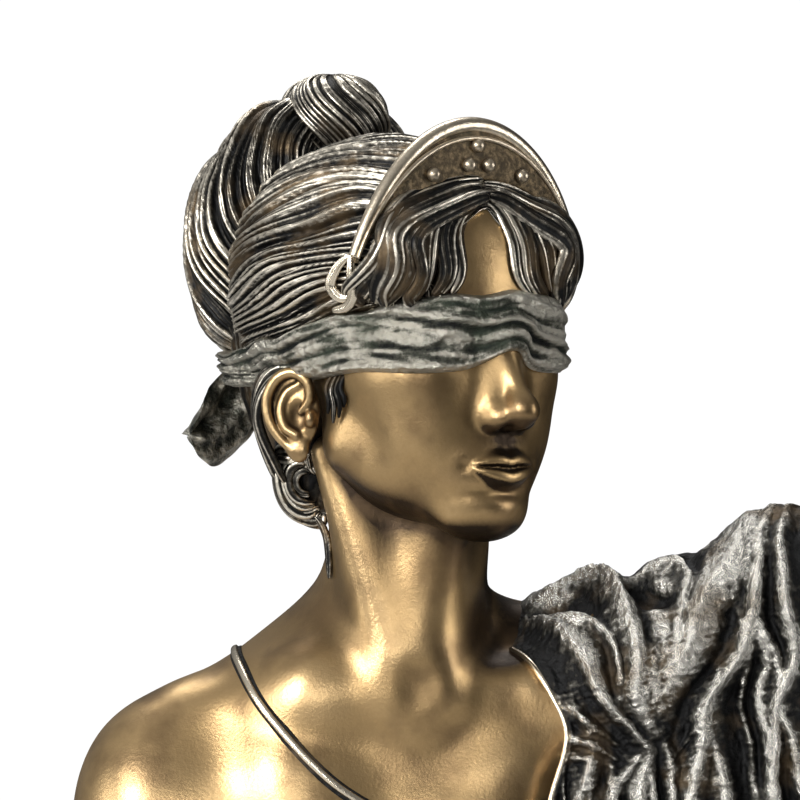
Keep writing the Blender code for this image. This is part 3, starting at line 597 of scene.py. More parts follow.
BAND = bronze("band_bronze", (0.58, 0.55, 0.47), (0.095, 0.096, 0.076), (0.005, 0.006, 0.005),
              (0.055, 0.075, 0.050), scale=1700, rough=(0.28, 0.6), metal=(0.95, 0.4), bump=0.8,
              breaking=0.7, stops=(0.10, 0.40, 0.66), deep_bump=0.0006, hammer=0.6)
RIM = bronze("rim_bronze", (0.84, 0.74, 0.58), (0.40, 0.325, 0.23), (0.015, 0.010, 0.006),
             (0.40, 0.35, 0.28), scale=1500, rough=(0.24, 0.45), metal=(1.0, 0.7), bump=0.15, breaking=0.4)
PLATE = bronze("plate_bronze", (0.26, 0.19, 0.11), (0.065, 0.048, 0.028), (0.006, 0.005, 0.004),
               (0.050, 0.046, 0.030), scale=1500, rough=(0.32, 0.5), metal=(0.95, 0.6), bump=0.4,
               breaking=0.7)


# ---------------------------------------------------------------- skin

SET_BACK = 0.02
HEAD_TOP, NECK_FOOT, NAPE = 0.90, -0.12, 0.14   # heights that bound the head's skin
EAR_BACK = -0.12                                # above the nape it ends this far behind the ears
BODY_TOP = 0.30


def build_skin():
    """Head, then body, as nets round their fields. Each also holds the other, blended in but set back by
    SET_BACK, so they meet in the crease under the jaw; what lies under the hair is left off the head."""
    def head_part(q):
        return melt(head_field(q), body_field(from_head(q)) + SET_BACK, 0.03)

    def face(q):
        d = np.maximum(head_part(q), q[..., 2] - HEAD_TOP)
        d = np.maximum(d, NECK_FOOT - q[..., 2])
        return np.maximum(d, np.minimum(EAR_BACK - q[..., 1], q[..., 2] - NAPE))

    co, faces = nets(face, (-0.36, -0.34, -0.14), (0.36, 0.60, 0.94), HEAD_NET / FINE)
    close = np.abs(head_part(co)) < 0.010
    co[close] = settled(head_part, co[close], 0)
    # Painted shade on the head's skin: under darkens the jaw's underside and other downward faces, and near
    # darkens where other forms lie close in front.
    head = piece("head_skin", from_head(co), faces, SKIN, rounds=3, depth=0.028, near=whole_field,
                 under=0.55)
    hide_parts("justice_bust")

    def body_part(p):
        return melt(head_field(to_head(p)) + SET_BACK, body_field(p), 0.03)

    def cut_body(p):
        return np.maximum(np.maximum(body_part(p), -CUT_LOW - p[..., 2]), p[..., 2] - BODY_TOP)

    co, faces = nets(cut_body, (-0.90, -0.45, -1.06), (0.72, 0.52, 0.34), BODY_NET / FINE)
    close = np.abs(body_part(co)) < 0.02
    co[close] = settled(body_part, co[close], 0)
    co[:, 2] = np.maximum(co[:, 2], -CUT_LOW)
    # Painted shade on the body: downward faces darken, and a third, wide reach darkens the neck's top under the
    # jaw.
    piece("body_skin", co, faces, SKIN, rounds=4, depth=0.026, near=whole_field, under=0.35,
          shade_reaches=PAINTED_SHADE_REACHES + ((0.34, 0.40),))


def build_arm():
    """The lifted arm out of the cloth, a straight tapered tube cut flat."""
    n = 24
    a, b = np.array((0.62, 0.03, -0.27)), np.array((1.20, -0.04, 0.025))
    share = (CUT_ARM - a[0]) / (b[0] - a[0])
    path = a + (b - a) * share * np.linspace(0, 1, n)[:, None]
    size = np.linspace(0.16, 0.13, n)
    grid = tube(path, (0, 0, 1), size, size, count(64))
    grid[..., 0] = np.minimum(grid[..., 0], CUT_ARM)
    grid[-2:, :, 0] = CUT_ARM
    sheet_piece("lifted_arm", grid, SKIN, wrap_cols=True, rounds=4, depth=0.02)


# ---------------------------------------------------------------- hair

def on_hair(turn, up, lift):
    """Point lifted off the crown at a turn round the head (0 in front, + to her left) and a height."""
    start = np.stack([0 * turn, 0 * turn, up], -1)
    way = rays(turn, 0 * turn)
    r = cast(crown_field, start, way, REACH)
    return start + way * (r + lift)[..., None]


def band_edges(turn):
    """Heights of the blindfold's upper and lower edges at a turn round the head: both rise to the front,
    the lower one over the nose too, and both waver."""
    front = (1 + np.cos(turn)) / 2
    high = 0.462 + 0.152 * front ** 1.5 + 0.005 * np.sin(9 * turn) + 0.003 * np.sin(17 * turn + 1)
    low = 0.378 + 0.042 * front + 0.045 * np.exp(-(turn / 0.15) ** 2) + 0.004 * np.sin(7 * turn + 2)
    return high, low


INSIDE_HEAD = (0, 0, 0.6)


def build_side_hair(m):
    """Combed back from behind the diadem to the groove before the roll: fall round the head's long axis
    grows with the share along, and the strands lie along the flow."""
    share, t = crossed(span(-0.10, 1.12, 225), span(0, 1, 90))
    fall = np.radians(6 + 88 * share) + np.radians(38 - 14 * share) * t ** 1.2
    along = 0.310 - 0.585 * t + 0.02 * np.sin(3 * t + 5 * share)
    start = np.stack([0 * fall, along, 0 * fall + 0.60], -1)
    way = np.stack([m * np.sin(fall), 0 * fall, np.cos(fall)], -1)
    r = cast(crown_field, start, way, REACH)
    edge = smooth((1.12 - share) / 0.05) * smooth((1 - t) / 0.10) * smooth((t + 0.01) / 0.10)
    hair = combed(share * 0.62 + 0.010 * np.sin(9 * t + 14 * share), t * 0.5, 11 + m)
    at = start + way * r[..., None]
    edge = edge * smooth((at[..., 2] - band_edges(np.arctan2(at[..., 0], at[..., 1]))[0] + 0.030) / 0.04)
    lift = (0.054 * hair - 0.010) * edge - 0.03 * (1 - edge)
    sheet_piece(f"side_hair_{m + 1}", from_head(at + way * lift[..., None]), HAIR,
                rounds=4, depth=0.007, inside=from_head(INSIDE_HEAD), carved=hair)


ROLL_WIND = 4.43


def build_roll(m):
    """Thick roll from nape to bun; its strands wind round it by ROLL_WIND radians for each unit of length."""
    path = path_through([(m * 0.125, -0.315, 0.47), (m * 0.182, -0.36, 0.60), (m * 0.195, -0.365, 0.78),
                         (m * 0.125, -0.335, 0.945), (m * 0.05, -0.285, 1.035)], count(96))
    t = np.linspace(0, 1, len(path))
    size = 0.062 + 0.040 * smooth(t / 0.25) + 0.042 * np.sin(np.pi * t ** 0.8)
    size = size - 0.018 * smooth((t - 0.80) / 0.20)
    hair = []
    wind = ROLL_WIND * m

    def carve(turn, along):
        u = 0.14 * ((turn - 0.5 * math.pi) % FULL - math.pi + wind * along)
        hair.append(combed(u + 0.012 * np.sin(14 * along + 2 * turn), along, 31 + m))
        return 0.050 * hair[0] - 0.026

    grid = tube(from_head(path), from_head((0.3, 1, 0.1)), size, size, count(250), carve, wind)
    sheet_piece(f"roll_{m + 1}", grid, HAIR, wrap_cols=True, rounds=4, depth=0.009,
                carved=0.88 * capped(hair[0]))


def build_bun():
    """A ball of wound hair: strands run from its foot over its top, leaning round it."""
    strand, lean = crossed(span(0, FULL, 240, ring=True), np.radians(span(-85, 89.9, 48)))
    turn = strand - 0.9 * np.sin(lean)
    wind = np.abs((strand / math.pi) % 2 - 1) * math.pi
    hair = combed(0.13 * wind, lean * 0.13, 51, 0.021, 0.06)
    carve = 0.036 * (hair - 0.4) * np.clip(np.cos(lean) * 1.6, 0.15, 1)
    grid = (0, -0.270, 1.045) + rays(turn, lean) * ((0.128, 0.130, 0.112) + carve[..., None])
    sheet_piece("bun", from_head(grid), HAIR, wrap_rows=True, rounds=3, depth=0.007, carved=hair)


def build_hair_mass():
    """What lies between the rolls and above the nape, combed up towards the bun."""
    turn, lean = crossed(span(-math.pi, math.pi, 160, ring=True), np.radians(span(-89.9, 89.9, 64)))
    way = rays(turn, lean)
    centre = np.array((0, -0.08, 0.60))
    r = cast(hair_field, centre, way, REACH)
    hair = combed(0.36 * np.abs(turn) + 0.06 * lean, 0.3 * lean, 71, 0.022)
    r = r + 0.026 * hair * np.cos(lean) - 0.012
    # Painted shade: the strands fade out on the mass's underside, which is left dark.
    sheet_piece("hair_mass", from_head(centre + way * r[..., None]), HAIR, wrap_rows=True, rounds=2,
                depth=0.007, carved=hair * smooth((lean + 1.0) / 0.5))


# Points of (turn, height) from the parting down: the forehead's edge, the diadem's, and the fringe's locks.
WAVE_INNER = ((2, 0.838), (-9, 0.822), (-20, 0.775), (-28, 0.705), (-32, 0.645), (-33, 0.610), (-27, 0.582))
WAVE_OUTER = ((4, 0.895), (-18, 0.885), (-34, 0.845), (-45, 0.778), (-50, 0.700), (-54, 0.640), (-57, 0.582))
FRINGE = (
    ((2, 0.846), (-5, 0.826), (-10, 0.786), (-12, 0.735), (-11, 0.680), (-12, 0.640), (-16, 0.606)),
    ((1, 0.852), (-7, 0.830), (-13, 0.790), (-16, 0.735), (-15, 0.680), (-16, 0.640), (-20, 0.606)),
    ((0, 0.856), (-9, 0.834), (-17, 0.790), (-20, 0.730), (-18, 0.670), (-20, 0.630), (-24, 0.602)),
    ((0, 0.860), (-12, 0.838), (-21, 0.785), (-24, 0.722), (-25, 0.660), (-27, 0.612)),
    ((-1, 0.864), (-15, 0.840), (-25, 0.778), (-28, 0.712), (-28, 0.650), (-31, 0.605)),
)


def parted(m, turn, up):
    """Turn round the head, in radians, of front hair: under the parting it leans to her right."""
    return np.radians(-m * turn - 6 * smooth((0.86 - up) / 0.10) * (1 - smooth(np.abs(turn) / 50)))


def wave_at(m, u, v, lift, phase=0.0):
    """Front hair between two lines of (turn, height): u goes from the forehead's edge to the diadem, v from
    the parting down to the blindfold, and a swing that grows on the way down waves it."""
    inner, outer = path_through(WAVE_INNER, 60), path_through(WAVE_OUTER, 60)
    steps = np.linspace(0, 1, 60)
    v1 = np.clip(v, 0, 1)
    turn = (1 - u) * np.interp(v1, steps, inner[:, 0]) + u * np.interp(v1, steps, outer[:, 0])
    up = (1 - u) * np.interp(v1, steps, inner[:, 1]) + u * np.interp(v1, steps, outer[:, 1])
    swung = FULL * (1.55 * v + 0.22 * u) + phase
    swing = np.sin(swung + 0.4) * smooth(v / 0.35)
    turn = turn + (3.6 - 1.6 * np.clip(u, 0, 1)) * swing * (1 + 0.5 * v)
    up = up + 0.010 * np.cos(swung) * smooth(v / 0.35)
    return on_hair(parted(m, turn, up), up, lift)


def build_front_hair(m):
    """Waved hair from the parting over the temple: a combed ground, thick locks over it with gaps between,
    and a fringe of thin ones. On her left all of it lies half as high."""
    flat = 0.5 if m > 0 else 1.0
    u, v = crossed(span(-0.40, 1.10, 160), span(0, 1, 90))
    edge = smooth((u + 0.40) / 0.05) * smooth((1.10 - u) / 0.05)
    edge = edge * smooth((v + 0.03) / 0.06) * smooth((1.02 - v) / 0.05)
    hair = combed(u * 0.36, v * 0.25, 91 + m, 0.026, 0.07)
    lift = (0.040 * hair - 0.016) * edge * flat - 0.03 * (1 - edge)
    sheet_piece(f"front_hair_{m + 1}", from_head(wave_at(m, u, v, lift)), HAIR,
                rounds=4, depth=0.008, inside=from_head(INSIDE_HEAD), carved=hair)
    t = span(0, 1, 78)
    rng = np.random.default_rng(400 + m)
    for i in range(10):
        place = 0.01 + 0.098 * i + rng.uniform(-0.02, 0.02)
        phase = rng.uniform(-0.7, 0.7)
        wide = rng.uniform(0.016, 0.030)
        end = rng.uniform(0.92, 1.02)
        rise = (0.022 + 0.016 * (i % 2) + 0.014 * np.sin(math.pi * t)) * flat
        share = place + 0.03 * np.sin(4 * t + i) - 0.10 * (1 if i % 3 else -0.6) * smooth((t - 0.84) / 0.16)
        share = np.minimum(share, 0.92)
        path = from_head(eased(wave_at(m, share, 0.03 + 0.02 * (i % 3) + end * 0.96 * t, rise, phase), 6))
        build_lock(f"lock_{m + 1}_{i}", path, wide * (0.8 if i == 0 else 1.0), 120 + i)
    for i, line in enumerate(FRINGE):
        line = path_through(line, 40)
        line = on_hair(parted(m, line[:, 0], line[:, 1]), line[:, 1], (0.010 + 0.006 * i) * flat)
        build_lock(f"fringe_{m + 1}_{i}", from_head(eased(line, 8)), 0.015 + 0.003 * (i % 3), 150 + i)


def build_lock(name, line, size, seed, material=HAIR, rub_and_painted_light=0.10):
    """A lock of hair: a tapered cord along a line, with strands along it, and painted light on its outer side.
    """
    path = eased(path_through(line, count(58)) if len(line) < count(58) else line, 4)
    top = unit(path - np.array((0.0, 0.0, path[:, 2].mean())))
    thin = taper(len(path), 0.22, 0.5)
    tall = []

    def carve(turn, along):
        tall.append(strands(turn * 0.02, along, 0.019, seed, 0.25))
        return 0.36 * size * (tall[0] - 0.5)

    grid = tube(path, top, size * 1.1 * thin, size * 0.9 * thin, count(24), carve)
    # Painted light: the cord's outer side is lighter than its inner side. The whole lock is also lifted
    # lighter: rubbed wear, and painted light on locks that lie in shade.
    facing = 0.72 + 0.28 * np.sin(span(0, FULL, 24, ring=True))
    sheet_piece(name, grid, material, wrap_cols=True, rounds=2, depth=0.012,
                carved=rub_and_painted_light + 0.95 * capped(tall[0]) * facing)


def nape_field(q):
    """Neck, in the head's own frame, with the hair over it."""
    return np.minimum(body_field(from_head(q)), hair_field(q))


def build_curls(m):
    """Locks that curl at the nape, each a part of an oval round a hub, nested; strands round the ear, from
    an inner line to an outer one; and the wisps before and under it."""
    hubs = (((0.188, -0.125, 0.150), 0.096, (0.788, -0.616, 0)), ((0.12, -0.235, 0.165), 0.080, (0.1, -0.8, 0)),
            ((0.03, -0.31, 0.170), 0.080, (-0.3, -0.8, 0)))
    for j, (hub, reach, side) in enumerate(hubs):
        hub, side = np.array(hub) * (m, 1, 1), unit(np.array(side) * (m, 1, 1))
        for i in range(5):
            r = reach * (1 - 0.19 * i)
            turn = np.radians(np.linspace(40, 318 - 10 * i, 16))
            line = hub - side * (r * np.cos(turn))[:, None]
            line[:, 2] += 1.25 * r * np.sin(turn)
            line = settled(nape_field, line, 0.008 + 0.006 * (i % 2))
            # These nape locks are lifted lighter: rubbed wear, and painted light, as they lie in shade.
            build_lock(f"nape_{m + 1}_{j}_{i}", from_head(eased(line, 2)), 0.022 - 0.002 * i,
                       140 + 5 * j + i, rub_and_painted_light=0.30)
    inner = np.array(((0.296, 0.03, 0.425), (0.345, -0.060, 0.40), (0.352, -0.115, 0.31),
                      (0.286, -0.135, 0.20), (0.225, -0.145, 0.12)))
    outer = np.array(((0.285, 0.00, 0.440), (0.320, -0.125, 0.415), (0.308, -0.180, 0.31),
                      (0.245, -0.200, 0.18), (0.180, -0.19, 0.085)))
    lines = [((1 - t) * inner + t * outer + (0.006 * (k % 2), 0, 0.004 * (k % 3)), 0.0125 - 0.002 * (k % 2))
             for k, t in enumerate(np.linspace(0, 1, 7))]
    lines += (
        ([(0.274, 0.138, 0.42), (0.279, 0.122, 0.380), (0.272, 0.128, 0.352), (0.266, 0.116, 0.330)], 0.006),
        ([(0.277, 0.128, 0.42), (0.284, 0.110, 0.375), (0.278, 0.116, 0.340), (0.270, 0.102, 0.305)], 0.007),
        ([(0.281, 0.117, 0.42), (0.290, 0.098, 0.375), (0.285, 0.102, 0.335), (0.276, 0.088, 0.292)], 0.007),
        ([(0.285, 0.106, 0.42), (0.295, 0.086, 0.380), (0.291, 0.090, 0.345), (0.286, 0.080, 0.315)], 0.006),
    )
    for i, (line, size) in enumerate(lines):
        # The strands round the ear are lifted lighter, rubbed wear and painted light for strands in shade; the
        # wisps before the ear are set darker.
        build_lock(f"strand_{m + 1}_{i}", from_head(np.array(line) * (m, 1, 1)), size, 180 + i,
                   rub_and_painted_light=0.22 if i < 7 else -0.05)
    wisp = path_through([(m * 0.185, -0.13, 0.07), (m * 0.19, -0.100, 0.02), (m * 0.18, -0.092, -0.04),
                         (m * 0.180, -0.088, -0.09)], 12)
    build_lock(f"wisp_{m + 1}", from_head(eased(settled(nape_field, wisp, 0.006), 4)), 0.010, 190)


# ---------------------------------------------------------------- diadem

DIADEM_HALF = 0.345
DIADEM_SHIFT = -0.015
DIADEM_FOOT = 0.62
DIADEM_RISE = 0.266
DIADEM_TALL = 0.120


def diadem_at(tau, share, fore=0.0):
    """Point on the diadem: tau runs from temple to temple by sine and cosine, share from foot to rim, and
    its height falls to the temples by the cosine to the power 2.6."""
    tall = DIADEM_TALL * np.abs(np.cos(tau)) ** 2.6 + 0.012
    a = DIADEM_SHIFT + (DIADEM_HALF + 0.25 * tall * share) * np.sin(tau)
    b = 0.262 + 0.055 * np.cos(tau) - 0.10 * tall * share + fore
    z = DIADEM_FOOT + DIADEM_RISE * np.cos(tau) + tall * share
    return np.stack([a, b, z], -1)


def build_diadem():
    """Plate, rim, inner line and beads, and the looped ends over the temples."""
    end = math.radians(77)
    tau, turn = crossed(span(-end, end, 170), np.linspace(0, FULL, 44, endpoint=False))
    share = 0.5 - 0.5 * np.cos(turn)
    fore = 0.015 * np.sign(np.sin(turn)) * np.abs(np.sin(turn)) ** 0.3
    sheet_piece("diadem_plate", from_head(diadem_at(tau, share, fore)), PLATE, wrap_cols=True, rounds=4,
                depth=0.012)
    tau = span(-end, end, 170)
    thin = 0.55 + 0.45 * np.cos(tau)
    for name, share, fore, size in (("diadem_rim", 1.0, 0.0, 0.021), ("diadem_line", 0.76, 0.016, 0.0065)):
        path = from_head(diadem_at(tau, share, fore))
        sheet_piece(name, tube(path, from_head((0, 1, 0)), size * thin, size * thin, count(20)), RIM,
                    wrap_cols=True, rounds=4, depth=0.012)
    sphere = rays(*crossed(np.linspace(0, FULL, 28, endpoint=False), np.radians(np.linspace(-89.9, 89.9, 18))))
    for i, (tau, share) in enumerate(((0.0, 0.62), (-0.085, 0.27), (0.085, 0.27), (-0.40, 0.28), (0.40, 0.28))):
        at = diadem_at(np.array(tau), share, 0.020)
        sheet_piece(f"bead_{i}", from_head(at + 0.0175 * sphere), RIM, wrap_rows=True, rounds=3, depth=0.02)
    tails = (((-54.0, 0.705), (-54.0, 0.655), (-54.0, 0.605), (-57, 0.575), (-63, 0.566)),
             ((-54.5, 0.700), (-59.5, 0.668), (-62.5, 0.625), (-59.0, 0.596), (-55.0, 0.598)))
    for m in (-1, 1):
        for i, tail in enumerate(tails):
            line = path_through(tail, 30)
            line = on_hair(-m * np.radians(line[:, 0]), line[:, 1], 0.040)
            build_lock(f"tail_{m + 1}_{i}", from_head(line), 0.0125, 195, material=RIM, rub_and_painted_light=0.35)


# ---------------------------------------------------------------- blindfold

def build_band():
    """A belt round the head: over one closed ring it goes up the outside and down the inside. Creases and
    crumples slant across it, with sharp crests and hammered unevenness."""
    turn, way_round = crossed(span(-math.pi, math.pi, 330, ring=True), span(0, 1, 52, ring=True))
    outer = 0.75
    out = way_round < outer
    share = np.where(out, way_round / outer, 1 - (way_round - outer) / (1 - outer))
    high, low = band_edges(turn)
    up = low + (high - low) * share
    start = np.stack([0 * turn, 0 * turn, up], -1)
    way = rays(turn, 0 * turn)
    r = cast(crown_field, start, way, REACH)
    flow = 0.20 * share + 0.022 * turn + 0.016 * np.sin(2.3 * turn + 0.5)
    fold = np.minimum(strands(flow, turn, 0.060, 201, 0.3), 0.62)
    crumple = strands(flow - 0.06 * turn, turn, 0.034, 202, 0.4)
    crest = creases(flow + 0.05 * turn, turn, 0.045, 206) + creases(flow - 0.04 * turn, turn, 0.052, 207)
    place = np.stack([np.sin(turn) * 0.4, np.cos(turn) * 0.4, up], -1)
    patch = smooth(0.5 + 1.6 * mottle(place, 0.10, 208))
    crease = 0.015 * fold + 0.005 * crumple + 0.014 * crest + 0.0030 * mottle(place, 0.035, 203)
    lip = smooth(share / 0.08) * smooth((1 - share) / 0.08)
    side = smooth((np.abs(turn) - 0.85) / 0.35)
    lift = np.where(out, 0.006 + 0.010 * lip + crease * lip + 0.012 * side, -0.012)
    shown = -0.02 + 0.44 * fold / 0.62 + 0.24 * crumple + 0.32 * patch + 0.75 * crest
    sheet_piece("blindfold", from_head(start + way * (r + lift)[..., None]), BAND, wrap_rows=True,
                wrap_cols=True, rounds=5, depth=0.008, inside=from_head((0, 0, 0.5)), carved=shown)


def build_knot():
    """The knot behind the head and the two leaves of cloth out of it."""
    turn, lean = crossed(span(0, FULL, 90, ring=True), np.radians(span(-89.9, 89.9, 40)))
    carve = 1 + 0.10 * np.cos(5 * turn + 1.5 * lean)
    knot = (0, -0.515, 0.415) + rays(turn, lean) * (0.070, 0.045, 0.055) * carve[..., None]
    sheet_piece("knot", from_head(knot), BAND, wrap_rows=True, rounds=4, depth=0.008)
    for m in (-1, 1):
        u, turn = crossed(span(0, 1, 56), span(0, FULL, 48, ring=True))
        line = path_through([(m * 0.02, -0.50, 0.40), (m * 0.17, -0.50, 0.315), (m * 0.31, -0.455, 0.285)],
                            len(u))
        wide = 0.118 * np.sin(np.pi * np.clip(u * 0.84 + 0.15, 0, 1)) ** 0.7 + 0.003
        v = np.cos(turn)
        fold = 0.013 * np.cos(4.5 * v + 3 * u) + 0.008 * np.sin(9 * v + 5 * u) + 0.005 * np.sin(14 * u - 5 * v)
        grid = np.repeat(line[:, None], u.shape[1], 1)
        grid[..., 2] += v * wide - 0.02 * u
        grid[..., 1] += fold + 0.014 * np.sin(turn) * np.sqrt(np.clip(1 - v ** 2, 0, 1) + 0.2)
        grid = np.concatenate([drawn_in(grid[:1]), grid, drawn_in(grid[-1:])])
        rough = mottle(grid, 0.05, 205)
        grid[..., 1] += 0.004 * rough
        # 0.72 lifts the whole leaf lighter, painted light on a leaf that lies in shade; the fold terms follow
        # its folds as rubbed crests.
        shown = 0.72 - 0.22 * np.cos(4.5 * v + 3 * u) - 0.2 * np.sin(9 * v + 5 * u) + 0.25 * rough[1:-1]
        sheet_piece(f"wing_{m + 1}", from_head(grid), BAND, wrap_cols=True, rounds=4, depth=0.008,
                    carved=capped(shown))


# ---------------------------------------------------------------- ears

def build_ear(m):
    """Rim, inner fold, bowl and lobe, blended; rim and fold are open rings of short rods."""
    fillet = 0.008

    def add_line(d, q, points, radii):
        pts = path_through(points, 25)
        rad = np.interp(np.linspace(0, 1, 25), np.linspace(0, 1, len(radii)), radii)
        rods = [limb(q, a, b, r0, r1) for a, b, r0, r1 in zip(pts[:-1], pts[1:], rad[:-1], rad[1:])]
        return melt(d, np.minimum.reduce(rods), fillet)

    back = np.array((0.50, -0.866, 0.0))
    out = np.array((0.866, 0.50, 0.0))
    root = np.array((0.284, 0.040, 0.315))

    def field(q):
        g = q * (m, 1, 1) - root
        q = np.stack([g @ back, g @ out, g[..., 2]], -1)
        d = ball(q, (0.066, -0.006, 0.004), (0.066, 0.016, 0.096))
        d = scoop(d, ball(q, (0.050, 0.020, -0.006), (0.027, 0.026, 0.040)), fillet)
        d = add_line(d, q, [(0.046, 0.004, 0.004), (0.020, 0.008, 0.036), (0.026, 0.010, 0.078),
                            (0.062, 0.012, 0.101), (0.104, 0.014, 0.086), (0.130, 0.014, 0.040),
                            (0.126, 0.012, -0.014), (0.100, 0.008, -0.058), (0.068, 0.002, -0.088)],
                     (0.008, 0.013, 0.014, 0.013, 0.011))
        d = add_line(d, q, [(0.052, 0.004, 0.070), (0.082, 0.008, 0.050), (0.096, 0.010, 0.008),
                            (0.084, 0.010, -0.034), (0.056, 0.008, -0.052)], (0.008, 0.012, 0.011))
        d = melt(d, ball(q, (0.018, 0.010, -0.012), (0.013, 0.013, 0.021)), 0.012)
        return melt(d, ball(q, (0.052, 0.000, -0.090), (0.026, 0.016, 0.030)), 0.018)

    low = np.array((0.24, -0.16, 0.17))
    high = np.array((0.42, 0.10, 0.45))
    if m < 0:
        low[0], high[0] = -0.42, -0.24
    co, faces = nets(field, low, high, EAR_NET / FINE)
    # Painted shade where the rim, fold, head or hair lie close in front of the ear's skin.
    piece(f"ear_{m + 1}", from_head(settled(field, co, 0)), faces, SKIN, rounds=5, depth=0.008,
          near=lambda p: np.minimum(field(to_head(p)), crown_field(to_head(p))))


# ---------------------------------------------------------------- dress and cloth

BODICE_TOP = -0.645
BODICE_THICK = 0.016
CHEST_AXIS = 0.08


def dressed_field(p):
    """The chest in its bodice, in soft upright pleats."""
    around = np.arctan2(p[..., 0], -(p[..., 1] - CHEST_AXIS))
    pleat = 0.009 * np.cos(34 * around + 6 * p[..., 2]) * smooth((BODICE_TOP - p[..., 2]) / 0.12)
    return chest_field(p) - BODICE_THICK - pleat


def from_chest(turn, up, field, more=0.0):
    """Points on a field, and more, at a turn round the chest's axis (0 in front) and a height."""
    start = np.stack([0 * turn, 0 * turn + CHEST_AXIS, up], -1)
    way = rays(turn, 0 * turn) * (1, -1, 1)
    return start + way * (cast(field, start, way, 1.0) + more)[..., None]


def build_dress():
    """The strap over the bare shoulder, the bodice and its scalloped edge."""
    strap = path_through([(-0.30, 0.36, -0.66), (-0.35, 0.32, -0.45), (-0.40, 0.16, -0.28),
                          (-0.405, 0.03, -0.285), (-0.382, -0.08, -0.325), (-0.325, -0.18, -0.42),
                          (-0.245, -0.23, -0.51), (-0.155, -0.26, -0.585), (-0.06, -0.27, -0.64)], count(150))
    strap = eased(settled(body_field, strap, 0.0), 40)
    for name, lift, wide, high, finish, shown in (("strap_band", 0.000, 0.0175, 0.006, CLOTH, 0.1),
                                                  ("strap_cord", 0.008, 0.0090, 0.0052, RIM, 1.0)):
        path = eased(settled(body_field, strap, lift), 12)
        grid = tube(path, unit(path - (0.0, 0.1, -0.8)), wide, high, 20)
        sheet_piece(name, grid, finish, wrap_cols=True, rounds=4, depth=0.02,
                    carved=np.full(grid.shape[:2], shown))
    turn = span(math.radians(-270), math.radians(84), 260)
    scallop = 0.014 * np.abs(np.sin(turn * 9)) * (np.abs(turn) < 1.6)
    edge = from_chest(turn, BODICE_TOP - scallop, chest_field, BODICE_THICK * 0.7)
    sheet_piece("neckline", tube(edge, (0, 0, 1), 0.017, 0.017, 20), CLOTH, wrap_cols=True, rounds=4,
                depth=0.008)
    turn, share = crossed(span(-math.pi, math.pi, 210, ring=True), span(0, 1, 42))
    wall = from_chest(turn, -CUT_LOW + (BODICE_TOP + CUT_LOW) * share, dressed_field)
    foot, lid = (np.repeat(np.array([[[0, CHEST_AXIS, up]]]), len(wall), 0) for up in (-CUT_LOW, BODICE_TOP))
    sheet_piece("bodice", np.concatenate([foot, wall, lid], 1), CLOTH, wrap_rows=True, rounds=3, depth=0.010)


def hem_front(up):
    """How far out the cloth's front edge lies, at each height."""
    spine = path_through([(0.26, -0.11), (0.335, -0.25), (0.392, -0.37), (0.392, -0.45), (0.352, -0.60),
                          (0.335, -0.80), (0.30, -1.15)], 40)
    return np.interp(-up, -spine[:, 1], spine[:, 0])


def hem_back(up):
    """The same at the back: a straight line."""
    return np.interp(-up, (0.11, 1.15), (0.26, -0.15))


def hung_field(p):
    """Body, bodice, and the depth of cloth that hangs from the lifted arm."""
    d = melt(body_field(p), dressed_field(p), 0.02)
    for x, deep, top, r0, r1 in ((0.50, 0.02, -0.42, 0.20, 0.24), (0.74, 0.0, -0.26, 0.16, 0.17),
                                 (0.98, -0.02, -0.14, 0.13, 0.12)):
        d = melt(d, limb(p, (x, deep, top), (x - 0.04, deep, -1.3), r0, r1), 0.12)
    return d


def ridge(x, z, line, wide, tall):
    """A fold: a crest along a line, thin at its ends by the root of a sine. To both sides it falls off as
    0.42 of a bell and 0.58 of a straight-sided roof."""
    best = np.full(x.shape, 9.0)
    where = np.zeros(x.shape)
    for k in range(len(line) - 1):
        ax, az = line[k]
        dx, dz = line[k + 1] - line[k]
        t = np.clip(((x - ax) * dx + (z - az) * dz) / (dx * dx + dz * dz), 0, 1)
        far = np.hypot(x - ax - t * dx, z - az - t * dz)
        nearer = far < best
        best = np.where(nearer, far, best)
        where = np.where(nearer, (k + t) / (len(line) - 1), where)
    body = 0.42 * np.exp(-(best / wide) ** 2) + 0.58 * np.clip(1 - best / (1.75 * wide), 0, 1)
    return tall * body * np.clip(np.sin(np.pi * (0.06 + 0.90 * where)), 0, 1) ** 0.5


GATHER = (0.605, -0.50)


